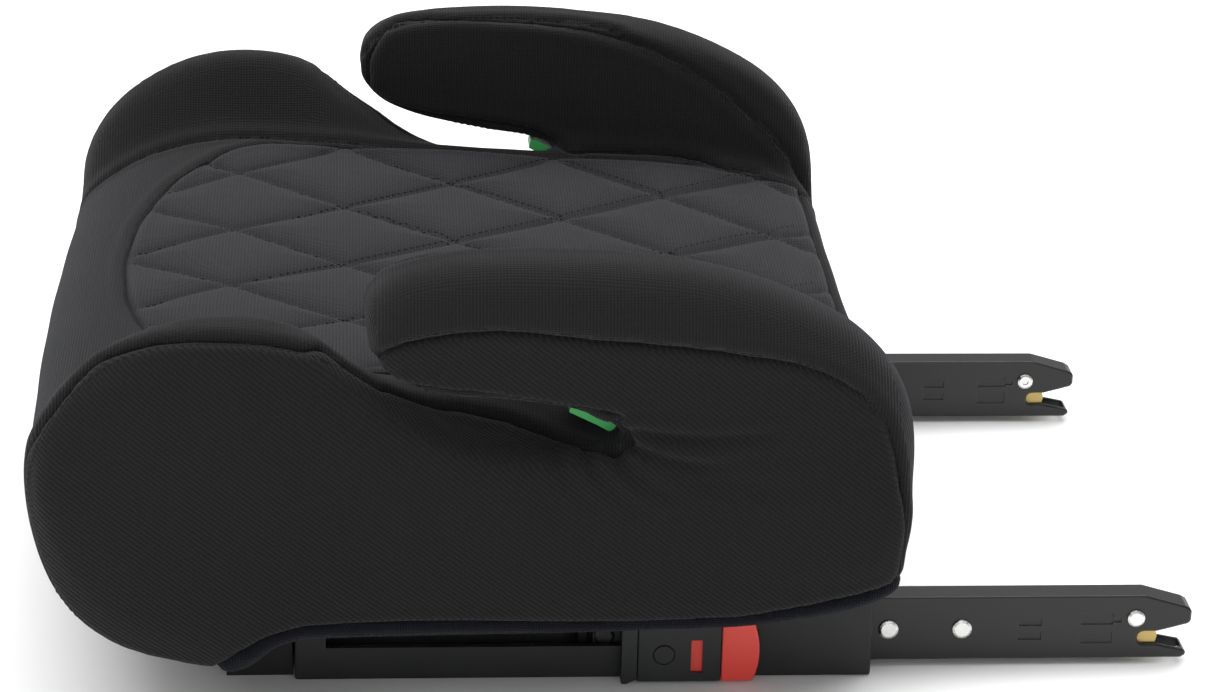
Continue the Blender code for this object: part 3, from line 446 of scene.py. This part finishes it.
def regions(points):
    """Signed values over the cover, each positive inside one piece."""
    x, y, z = points[:, 0], np.abs(points[:, 1]), points[:, 2]
    hem = np.interp(x, *np.array(HEM_TOP).T) - z
    hem[x < HEM_TOP[0][0]] = -50
    reach = np.interp(x, *np.array(SHOULDER).T)
    reach = np.where(z > SHOULDER_Z, SIDE_IN, reach)
    side = np.minimum(distance_to_outline(points[:, [0, 2]], side_outline()), y - reach)
    quilt = distance_to_outline(points[:, :2], quilt_outline())
    quilt = np.where(z > TOP_ABOVE, quilt, -50)
    rim = np.minimum(np.minimum(x - RIM_X, RIM_HALF_WIDTH - y), z - RIM_BOTTOM)
    lining_edge = np.vstack([
        spline(LINING_TOP_SEAM, 8)[:, [0, 2]], spline(LINING_LOW_SEAM, 8)[::-1][:, [0, 2]],
    ])
    lining = np.minimum(distance_to_outline(points[:, [0, 2]], lining_edge), LINING_OUT - y)
    lining = np.where(y > LINING_IN, lining, -50)
    return {"hem": hem, "side": side, "quilt": quilt, "lining": lining, "rim": rim}


def wrinkles(points):
    """Soft folds in the side panel that fan out from the rear end of the gap under each armrest."""
    x, y, z = points[:, 0], np.abs(points[:, 1]), points[:, 2]
    deep = np.zeros(len(points))
    for start, end, depth, width in FOLDS:
        a, b = np.array(start, float), np.array(end, float)
        along = b - a
        flat = np.column_stack([x, z]) - a
        share = np.clip(flat @ along / (along @ along), -0.05, 1.0)
        sag = 3.0 * np.sin(np.clip(share, 0, 1) * math.pi)
        across = np.linalg.norm(flat - share[:, None] * along + np.column_stack([0 * sag, sag]), axis=1)
        fade = np.sqrt(np.clip(1 - share, 0, 1)) * np.clip(1 + share * 8, 0.6, 1)
        deep -= depth * fade * np.exp(-((across / width) ** 2))
        deep += 0.5 * depth * fade * np.exp(-(((across - 2 * width) / width) ** 2))
    return np.where(y > FOLDS_FROM, deep, 0)


def soft_waves(points):
    """A slight unevenness, as stretched fabric has over foam."""
    x, y, z = points.T
    wave = np.sin(x / 31 + 1.3 * np.sin(z / 27)) * np.sin(z / 23 + y / 37)
    return 0.22 * wave + 0.12 * np.sin(x / 13 + z / 17 + y / 11)


def face_table(obj):
    """The faces as rows of four vertices, and their normals."""
    faces = np.empty(len(obj.data.polygons) * 4, int)
    obj.data.polygons.foreach_get("vertices", faces)
    normals = np.empty(len(obj.data.polygons) * 3)
    obj.data.polygons.foreach_get("normal", normals)
    return faces.reshape(-1, 4), normals.reshape(-1, 3)


def edge_table(obj):
    edges = np.empty(len(obj.data.edges) * 2, int)
    obj.data.edges.foreach_get("vertices", edges)
    return edges.reshape(-1, 2)


def labelled(points, faces, normals):
    """The name of the piece that each face belongs to. The open underside has none."""
    centres = points[faces].mean(axis=1)
    value = regions(centres)
    x, y, z = centres.T
    label = np.full(len(faces), "top_panel", dtype=object)
    label[(value["quilt"] > 0) & (normals[:, 2] > 0.2)] = "quilted_top"
    label[value["rim"] > 0] = "rear_rim"
    for word, side in SIDES.items():
        here = y * side > 0
        label[(value["lining"] > 0) & here & (normals[:, 1] * side < 0.85)] = f"{word}_armrest_lining"
        label[(value["side"] > 0) & here] = f"{word}_side_panel"
    label[value["hem"] > 0] = "hem_tape"
    underside = (x > OPENING[0]) & (x < OPENING[1]) & (np.abs(y) < OPENING[2]) & (z < OPENING_TOP)
    label[underside & (normals[:, 2] < -0.2)] = ""
    return label


def border_edges(faces, label):
    """The edges between faces of different pieces."""
    names = {name: number for number, name in enumerate(sorted(set(label)))}
    number = np.array([names[name] for name in label])
    ends = np.sort(np.stack([faces, np.roll(faces, -1, axis=1)], axis=2).reshape(-1, 2), axis=1)
    owner = np.repeat(number, 4)
    order = np.lexsort((ends[:, 1], ends[:, 0]))
    ends, owner = ends[order], owner[order]
    same = (ends[:-1] == ends[1:]).all(axis=1) & (owner[:-1] != owner[1:])
    return ends[:-1][same]


def straightened(points, borders, passes):
    """Evens out the line of each border by moving its vertices towards their neighbours along it."""
    points = points.copy()
    for _ in range(passes):
        total = np.zeros_like(points)
        count = np.zeros(len(points))
        for a, b in ((0, 1), (1, 0)):
            np.add.at(total, borders[:, a], points[borders[:, b]])
            np.add.at(count, borders[:, a], 1)
        on_line = count == 2
        points[on_line] = 0.5 * points[on_line] + 0.5 * total[on_line] / 2
    return points


def make_skin():
    """The whole skin, swollen as cloth between its held seams, and the seam lines on it."""
    skin = joined([body_form(), armrest_form(1), armrest_form(-1)])
    skin.name = "skin"
    remeshed(skin, VOXEL, 7)
    tree = BVHTree.FromObject(skin, bpy.context.evaluated_depsgraph_get())
    seams = {}
    for name, points in (
        ("side", SIDE_SEAM), ("armrest", ARMREST_SEAM), ("lining_top", LINING_TOP_SEAM),
        ("lining_low", LINING_LOW_SEAM), ("pan", PAN_SEAM),
    ):
        for word, line in zip(("right", "left"), both_sides(points)):
            seams[f"{word}_{name}"] = on_surface(evenly(line, 1.5), tree)[0]
    edge = evenly(quilt_outline()[: 8 * (len(QUILT_EDGE) - 1) + 1], 1.5)
    edge = np.column_stack([edge, np.full(len(edge), 138.0)])
    seams["right_quilt"] = on_surface(edge, tree)[0]
    seams["left_quilt"] = on_surface(edge * np.array([1, -1, 1]), tree)[0]
    across = np.linspace(-152, 152, 204)
    rim = np.column_stack([np.full(len(across), RIM_X), across, np.full(len(across), RIM_Z)])
    seams["rear_rim"] = on_surface(rim, tree)[0]
    points = points_of(skin)
    near = np.minimum(distance_to_lines(points, list(seams.values())), 99)
    on_top = (distance_to_outline(points[:, :2], quilt_outline()) > 0) & (points[:, 2] > TOP_ABOVE)
    near = np.where(on_top, np.minimum(near, quilt_distance(points)), near)
    held = np.where(near < 2.2, 1.0, np.where(near < 4.5, 0.3, 0.0))
    held = np.where(points[:, 2] < 58, 1.0, held)
    inflate(skin, held, 2.6)
    division = skin.modifiers.new("subdivision", "SUBSURF")
    division.levels = division.render_levels = 1
    apply_modifiers(skin)
    return skin, seams


def parted(skin):
    """Moves the mesh's lines onto the borders between the pieces, and names the piece of every face."""
    points, edges = points_of(skin), edge_table(skin)
    for name in ("hem", "side", "quilt", "lining", "rim"):
        points = snap(points, edges, regions(points)[name])
    faces, normals = face_table(skin)
    label = labelled(points, faces, normals)
    borders = border_edges(faces, label)
    set_points(skin, straightened(points, borders, 6))
    return faces, label, borders


def sculpted(skin, seams, borders):
    """Sinks the seams and the quilting into the swollen skin, and adds its folds."""
    points, normals = points_of(skin), normals_of(skin)
    outline = quilt_outline()
    inset = distance_to_outline(points[:, :2], outline)
    top = (inset > 0) & (points[:, 2] > TOP_ABOVE) & (normals[:, 2] > 0.3)
    groove = quilt_distance(points)
    puff = 4.6 * (1 - np.exp(-groove / 8)) - 2.2
    depth = np.where(top, puff - 0.9 * np.exp(-((groove / 1.2) ** 2)), 0) * np.clip(inset / 7, 0, 1)
    inner = [line for name, line in seams.items() if name.endswith(("_pan", "_lining_top"))]
    near = distance_to_lines(points, [points[np.unique(borders)]] + inner)
    depth += -2.3 * np.exp(-((near / 1.7) ** 2)) + 0.7 * np.exp(-(((near - 5) / 3) ** 2))
    depth += wrinkles(points) + soft_waves(points)
    set_points(skin, points + normals * depth[:, None])


def cut_pieces(skin, faces, label):
    """Parts the skin into its separate sewn pieces, with the underside open."""
    points = points_of(skin)
    pieces = {}
    for name in sorted(set(label) - {""}):
        used, index = np.unique(faces[label == name], return_inverse=True)
        pieces[name] = mesh_object(name, points[used], index.reshape(-1, 4).tolist())
    bpy.data.objects.remove(skin)
    return pieces


def thicken(obj, thickness):
    """Gives a sewn piece its thickness, inwards where that is above 0."""
    solid = obj.modifiers.new("thickness", "SOLIDIFY")
    solid.thickness = thickness * MM
    solid.offset = -1
    solid.use_even_offset = False
    apply_modifiers(obj)


def smooth_shaded(obj):
    obj.data.shade_smooth()
    return obj


def thread(name, lines, tree, pitch, length, radius, lift):
    """Sewing stitches along the lines: short rounded bars, one after another, lying in the fabric."""
    ring = 5
    vertices, faces = [], []
    for line in lines:
        places = evenly(line, pitch)
        for a, b in zip(places, places[1:]):
            middle = (a + b) / 2
            place, normal, _, _ = tree.find_nearest(Vector(middle * MM))
            if place is None:
                continue
            along = Vector(b - a).normalized()
            up = (normal - along * normal.dot(along)).normalized()
            across = along.cross(up)
            centre = place / MM + up * lift
            base = len(vertices)
            for share, width, sink in ((-0.5, 0.35, 0.5), (-0.32, 1, 0), (0.32, 1, 0), (0.5, 0.35, 0.5)):
                at = centre + along * (share * length) - up * (sink * radius)
                for k in range(ring):
                    angle = 2 * math.pi * k / ring
                    offset = across * math.cos(angle) + up * math.sin(angle)
                    vertices.append(tuple(at + offset * (radius * width)))
            for level in range(3):
                for k in range(ring):
                    start, after = base + level * ring + k, base + level * ring + (k + 1) % ring
                    faces.append((start, after, after + ring, start + ring))
            faces.append(tuple(base + k for k in reversed(range(ring))))
            faces.append(tuple(base + 3 * ring + k for k in range(ring)))
    return smooth_shaded(mesh_object(name, vertices, faces))


# ---- Materials ----

class Nodes:
    """Short ways to add nodes to one material."""

    def __init__(self, name):
        self.material = bpy.data.materials.new(name)
        self.material.use_nodes = True
        self.tree = self.material.node_tree
        self.shader = self.tree.nodes["Principled BSDF"]

    def add(self, kind, links=(), **settings):
        node = self.tree.nodes.new(kind)
        for key, value in settings.items():
            setattr(node, key, value)
        for socket, value in dict(links).items():
            self.put(node.inputs[socket], value)
        return node

    def put(self, socket, value):
        if isinstance(value, bpy.types.NodeSocket):
            self.tree.links.new(value, socket)
        else:
            socket.default_value = value

    def math(self, operation, *values):
        node = self.add("ShaderNodeMath", operation=operation)
        for socket, value in zip(node.inputs, values):
            self.put(socket, value)
        return node.outputs[0]

    def weighted(self, first, share, second, other_share):
        """The sum of two values, each times its share."""
        other = self.math("MULTIPLY", second, other_share)
        return self.math("ADD", self.math("MULTIPLY", first, share), other)

    def chosen(self, switch, off, on):
        """The value off where the switch is 0, and on where it is 1."""
        return self.math("ADD", self.math("MULTIPLY", off, self.math("SUBTRACT", 1.0, switch)),
                         self.math("MULTIPLY", on, switch))

    def noise(self, scale, detail=2.0, vector=None):
        links = {"Scale": scale, "Detail": detail}
        links["Vector"] = vector or self.add("ShaderNodeTexCoord").outputs["Object"]
        return self.add("ShaderNodeTexNoise", links).outputs["Fac"]

    def ramp(self, value, low, high, start=0.0, end=1.0):
        return self.add("ShaderNodeMapRange", {
            "Value": value, "From Min": start, "From Max": end, "To Min": low, "To Max": high,
        }).outputs[0]

    def colour(self, factor, dark, light):
        node = self.add("ShaderNodeMix", data_type="RGBA")
        self.put(node.inputs[0], factor)
        self.put(node.inputs[6], (*dark, 1))
        self.put(node.inputs[7], (*light, 1))
        return node.outputs[2]

    def bump(self, height, distance, strength=1.0, normal=None):
        links = {"Height": height, "Distance": distance * MM, "Strength": strength}
        if normal is not None:
            links["Normal"] = normal
        return self.add("ShaderNodeBump", links).outputs[0]


def knit(name, dark, light, pitch, style, depth=0.25, sheen=0.25):
    """Knitted fabric. Its pattern lies in the plane that the surface faces most."""
    made = Nodes(name)
    place = made.add("ShaderNodeTexCoord").outputs["Object"]
    place = made.add("ShaderNodeSeparateXYZ", {0: place}).outputs
    facing = made.add("ShaderNodeNewGeometry").outputs["Normal"]
    facing = made.add("ShaderNodeSeparateXYZ", {0: facing}).outputs
    front = made.math("GREATER_THAN", made.math("ABSOLUTE", facing[0]), 0.75)
    flat = made.math("GREATER_THAN", made.math("ABSOLUTE", facing[2]), 0.6)
    across = made.chosen(front, place[0], place[1])
    up = made.chosen(flat, place[2], place[1])
    turn = 2 * math.pi / (pitch * MM)
    if style == "twill":
        run = made.weighted(across, turn * 0.62, up, turn * 0.78)
        cross = made.weighted(across, turn * 1.5, up, -turn * 0.9)
    else:
        run = made.math("MULTIPLY", across, turn)
        cross = made.math("MULTIPLY", up, turn * 1.3)
    wobble = made.math("MULTIPLY", made.noise(900.0, 1.0), 1.6)
    rows = made.math("SINE", made.math("ADD", run, wobble))
    loops = made.math("SINE", made.math("ADD", cross, wobble))
    fuzz = made.noise(2600.0, 3.0)
    weave = made.math("ADD", made.math("MULTIPLY", rows, 0.5), made.weighted(loops, 0.28, fuzz, 0.8))
    patches = made.noise(22.0, 3.0)
    tone = made.math("ADD", made.ramp(weave, 0.0, 0.75, -0.5, 1.3), made.math("MULTIPLY", patches, 0.25))
    made.put(made.shader.inputs["Base Color"], made.colour(tone, dark, light))
    made.put(made.shader.inputs["Roughness"], made.ramp(patches, 0.86, 0.98))
    made.put(made.shader.inputs["Normal"], made.bump(weave, depth))
    made.shader.inputs["Specular IOR Level"].default_value = 0.12
    made.shader.inputs["Sheen Weight"].default_value = sheen
    made.shader.inputs["Sheen Roughness"].default_value = 0.45
    made.shader.inputs["Sheen Tint"].default_value = (0.9, 0.92, 1.0, 1)
    return made.material


def edge_mask(made, radius):
    """Near 1 on edges and corners, where the colour is lightened as partly wear and partly painted
    highlight, and the rounded normal that it comes from.
    """
    rounded = made.add("ShaderNodeBevel", {"Radius": radius * MM}, samples=4).outputs[0]
    plain = made.add("ShaderNodeNewGeometry").outputs["Normal"]
    same = made.add("ShaderNodeVectorMath", {0: rounded, 1: plain}, operation="DOT_PRODUCT")
    # The mask lightens the colour on edges: partly wear, partly a painted highlight where light catches the
    # rounded edge.
    return made.ramp(same.outputs["Value"], 1.0, 0.0, 0.75, 0.99), rounded


def moulded(name, dark, light, roughness, grain=0.03, grain_scale=1500.0, round_edges=0.4, coat=0.0):
    """Moulded plastic: a fine spark-eroded grain, uneven gloss and smoother edges painted paler, partly as
    wear and partly as painted highlight.
    """
    made = Nodes(name)
    edge_wear_and_highlight, rounded = edge_mask(made, round_edges)
    grainy = made.noise(grain_scale, 2.0)
    patches = made.noise(45.0, 4.0)
    # Paler on the edges: partly wear, partly a painted highlight.
    tone = made.math("ADD", made.math("MULTIPLY", patches, 0.4), made.math("MULTIPLY", edge_wear_and_highlight, 0.6))
    made.put(made.shader.inputs["Base Color"], made.colour(tone, dark, light))
    polish = made.math("SUBTRACT", made.ramp(patches, roughness - 0.05, roughness + 0.09),
                       made.math("MULTIPLY", edge_wear_and_highlight, 0.12))
    made.put(made.shader.inputs["Roughness"], polish)
    made.put(made.shader.inputs["Normal"], made.bump(grainy, grain, 0.9, rounded))
    made.shader.inputs["Specular IOR Level"].default_value = 0.35
    made.shader.inputs["Coat Weight"].default_value = coat
    made.shader.inputs["Coat Roughness"].default_value = 0.2
    return made.material


def metal(name, dark, light, roughness, stretch=(1.0, 1.0, 1.0), round_edges=0.3):
    """Plated steel with drawn streaks and edges painted bright, partly as wear and partly as painted
    highlight.
    """
    made = Nodes(name)
    edge_wear_and_highlight, rounded = edge_mask(made, round_edges)
    place = made.add("ShaderNodeTexCoord").outputs["Object"]
    drawn = made.add("ShaderNodeMapping", {"Vector": place, "Scale": stretch}).outputs[0]
    streaks = made.noise(420.0, 4.0, drawn)
    spots = made.noise(160.0, 3.0)
    # Brighter on the edges: partly wear, partly a painted highlight.
    tone = made.math("ADD", made.math("MULTIPLY", streaks, 0.5), made.math("MULTIPLY", edge_wear_and_highlight, 0.5))
    made.put(made.shader.inputs["Base Color"], made.colour(tone, dark, light))
    made.put(made.shader.inputs["Roughness"], made.ramp(spots, roughness - 0.06, roughness + 0.12))
    made.put(made.shader.inputs["Normal"], made.bump(streaks, 0.02, 0.7, rounded))
    made.shader.inputs["Metallic"].default_value = 1.0
    return made.material


def painted_steel():
    """Satin black coating over pressed steel, with slight orange peel and thin edges painted paler, partly
    as rubbed wear and partly as painted highlight.
    """
    made = Nodes("satin_black_coating")
    edge_wear_and_highlight, rounded = edge_mask(made, 0.7)
    scratches = made.add("ShaderNodeMapping", {
        "Vector": made.add("ShaderNodeTexCoord").outputs["Object"], "Scale": (0.05, 1.0, 1.0),
    }).outputs[0]
    rubbed = made.noise(900.0, 3.0, scratches)
    peel = made.noise(700.0, 1.0)
    # Paler on the edges: partly rubbed wear, partly a painted highlight of the light on the rounded edge.
    tone = made.math("ADD", made.math("MULTIPLY", edge_wear_and_highlight, 0.6), made.math("MULTIPLY", rubbed, 0.06))
    coating = made.colour(tone, (0.004, 0.004, 0.004), (0.09, 0.09, 0.088))
    made.put(made.shader.inputs["Base Color"], coating)
    made.put(made.shader.inputs["Roughness"], made.ramp(rubbed, 0.24, 0.42))
    made.put(made.shader.inputs["Normal"], made.bump(peel, 0.02, 0.5, rounded))
    made.shader.inputs["Specular IOR Level"].default_value = 0.35
    made.shader.inputs["Coat Weight"].default_value = 0.15
    made.shader.inputs["Coat Roughness"].default_value = 0.12
    return made.material


def dress(obj, finish):
    obj.data.materials.clear()
    obj.data.materials.append(finish)


# ---- Putting it together ----

def build_cover():
    """Makes the sewn cover and its stitches, and gives each piece its cloth and its body."""
    skin, seams = make_skin()
    faces, label, borders = parted(skin)
    sculpted(skin, seams, borders)
    tree = BVHTree.FromObject(skin, bpy.context.evaluated_depsgraph_get())
    pieces = cut_pieces(skin, faces, label)
    dark, light = (0.005, 0.005, 0.0052), (0.019, 0.019, 0.0194)
    twill = knit("black_twill_knit", dark, light, 1.9, "twill", 0.26, 0.06)
    dark, light = (0.009, 0.009, 0.0098), (0.034, 0.0332, 0.0352)
    ribbed = knit("ribbed_knit", dark, light, 1.5, "rib", 0.3, 0.1)
    dark, light = (0.0055, 0.0055, 0.0057), (0.0205, 0.0205, 0.021)
    plain = knit("black_fine_rib_knit", dark, light, 1.4, "rib", 0.24, 0.08)
    dark, light = (0.002, 0.002, 0.004), (0.008, 0.009, 0.013)
    tape = knit("navy_black_tape", dark, light, 1.1, "rib", 0.3, 0.05)
    dark, light = (0.004, 0.004, 0.004), (0.014, 0.014, 0.015)
    sewing = knit("sewing_thread", dark, light, 0.5, "twill", 0.08, 0.05)
    looks = {
        "top_panel": (plain, "black_knit", ("top_cover", "seat_foam")),
        "quilted_top": (ribbed, "ribbed_knit", ("quilted_panel",)),
        "rear_rim": (plain, "black_knit", ("rear_cover",)),
        "hem_tape": (tape, "binding", ("hem_binding",)),
        "left_side_panel": (twill, "black_knit", ("left_side_cover", "left_side_foam")),
        "right_side_panel": (twill, "black_knit", ("right_side_cover", "right_side_foam")),
        "left_armrest_lining": (plain, "black_knit", ()),
        "right_armrest_lining": (plain, "black_knit", ()),
    }
    for name, (finish, slot, stood_for) in looks.items():
        piece = pieces[name]
        thicken(piece, TAPE_LIFT if name == "hem_tape" else FABRIC_THICKNESS)
        dress(piece, finish)
        smooth_shaded(piece)
        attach(piece, "seat")
        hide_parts(*stood_for)
    grid = []
    for line in quilt_lines():
        grid.append(on_surface(np.column_stack([line, np.full(len(line), 140.0)]), tree)[0])
    stitched = (("seam_stitches", list(seams.values()), 3.4), ("quilting_stitches", grid, 3.6))
    for name, lines, pitch in stitched:
        stitches = thread(name, lines, tree, pitch, STITCH_LENGTH, STITCH_RADIUS, STITCH_LIFT)
        dress(stitches, sewing)
        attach(stitches, "seat")


def dress_frame():
    """Gives every hard CAD node that shows its own finish."""
    black = moulded("black_moulding", (0.005, 0.005, 0.005), (0.022, 0.022, 0.022), 0.5)
    rail = moulded("rail_moulding", (0.008, 0.009, 0.0085), (0.028, 0.03, 0.029), 0.46)
    grey = moulded("grey_moulding", (0.011, 0.012, 0.0125), (0.036, 0.038, 0.04), 0.4)
    red = moulded("red_moulding", (0.72, 0.04, 0.03), (0.95, 0.17, 0.12), 0.34, 0.015, 1200.0, 0.5, 0.25)
    green = moulded("green_moulding", (0.03, 0.36, 0.08), (0.12, 0.62, 0.2), 0.4, 0.02)
    yellow = moulded("yellow_moulding", (0.58, 0.40, 0.11), (0.86, 0.68, 0.3), 0.42, 0.02)
    rubber = moulded("grip_rubber", (0.008, 0.008, 0.008), (0.03, 0.03, 0.03), 0.82, 0.08, 800.0)
    coated = painted_steel()
    zinc = metal("zinc_plated_steel", (0.42, 0.42, 0.41), (0.78, 0.78, 0.76), 0.3, (0.06, 1.0, 1.0))
    rivet = metal("bright_rivet_steel", (0.62, 0.62, 0.6), (0.92, 0.92, 0.9), 0.24)
    hook = metal("hardened_steel", (0.3, 0.3, 0.3), (0.6, 0.6, 0.6), 0.36, (0.1, 1.0, 1.0))
    finish_of = {
        "black_plastic": black, "rail_plastic": rail, "grey_plastic": grey, "red_plastic": red,
        "green_plastic": green, "yellow_plastic": yellow, "grip_rubber": rubber, "painted_steel": coated,
        "zinc_steel": zinc, "rivet_steel": rivet, "hook_steel": hook,
    }
    slots = {row["node"]: row["material_slot"] for row in frame["record"]["subparts"]}
    for name, node in frame["nodes"].items():
        if name.endswith("_carriage_rivet"):
            dress(node, coated)
        elif slots[name] in finish_of:
            dress(node, finish_of[slots[name]])


def area_light(name, place, aim, size, power, colour=(1, 1, 1)):
    data = bpy.data.lights.new(name, "AREA")
    data.shape = "RECTANGLE"
    data.size, data.size_y = size
    data.energy = power
    data.color = colour
    light = bpy.data.objects.new(name, data)
    light.location = place
    light.rotation_euler = (Vector(aim) - Vector(place)).to_track_quat("-Z", "Y").to_euler()
    bpy.context.scene.collection.objects.link(light)


def make_studio():
    """A pale floor, an even white sky and soft lights from above."""
    corners = [(x * FLOOR_REACH, y * FLOOR_REACH, 0) for x, y in ((-1, -1), (1, -1), (1, 1), (-1, 1))]
    floor = mesh_object("studio_floor", corners, [(0, 1, 2, 3)])
    pale = Nodes("pale_floor")
    pale.shader.inputs["Roughness"].default_value = 0.9
    tint = pale.colour(pale.noise(3.0), (0.93, 0.93, 0.93), (0.95, 0.95, 0.95))
    pale.put(pale.shader.inputs["Base Color"], tint)
    dress(floor, pale.material)
    world = bpy.data.worlds.new("studio_world")
    world.use_nodes = True
    world.node_tree.nodes["Background"].inputs["Color"].default_value = (1, 1, 1, 1)
    world.node_tree.nodes["Background"].inputs["Strength"].default_value = 0.42
    bpy.context.scene.world = world
    bpy.context.scene.view_settings.view_transform = "Standard"
    sun = bpy.data.lights.new("overhead_light", "SUN")
    sun.energy = 2.6
    sun.angle = math.radians(70)
    overhead = bpy.data.objects.new("overhead_light", sun)
    overhead.rotation_euler = (math.radians(-12), math.radians(-8), 0)
    bpy.context.scene.collection.objects.link(overhead)
    area_light("key_light", (-1.6, -0.9, 1.6), (0, 0, 0.1), (1.4, 1.2), 14)
    area_light("fill_light", (0.2, -2.6, 0.9), (0, 0, 0.1), (1.8, 0.8), 9)
    area_light("rear_light", (0.9, 0.9, 1.9), (0, 0, 0.1), (2.0, 1.2), 22)


def make_camera():
    """The camera, at the photograph's viewing angle."""
    right = Vector((0.99736, -0.06824, 0.02488)).normalized()
    back = Vector((-0.07261, -0.92825, 0.3648)).normalized()
    up = back.cross(right).normalized()
    right = up.cross(back)
    data = bpy.data.cameras.new("studio_camera")
    data.lens = 106.9
    data.sensor_width = 36.0
    camera = bpy.data.objects.new("studio_camera", data)
    turn = Matrix((right, up, back)).transposed()
    camera.matrix_world = Matrix.Translation((-0.11847, -1.56857, 0.71153)) @ turn.to_4x4()
    bpy.context.scene.collection.objects.link(camera)
    bpy.context.scene.camera = camera


build_cover()
dress_frame()
make_studio()
make_camera()
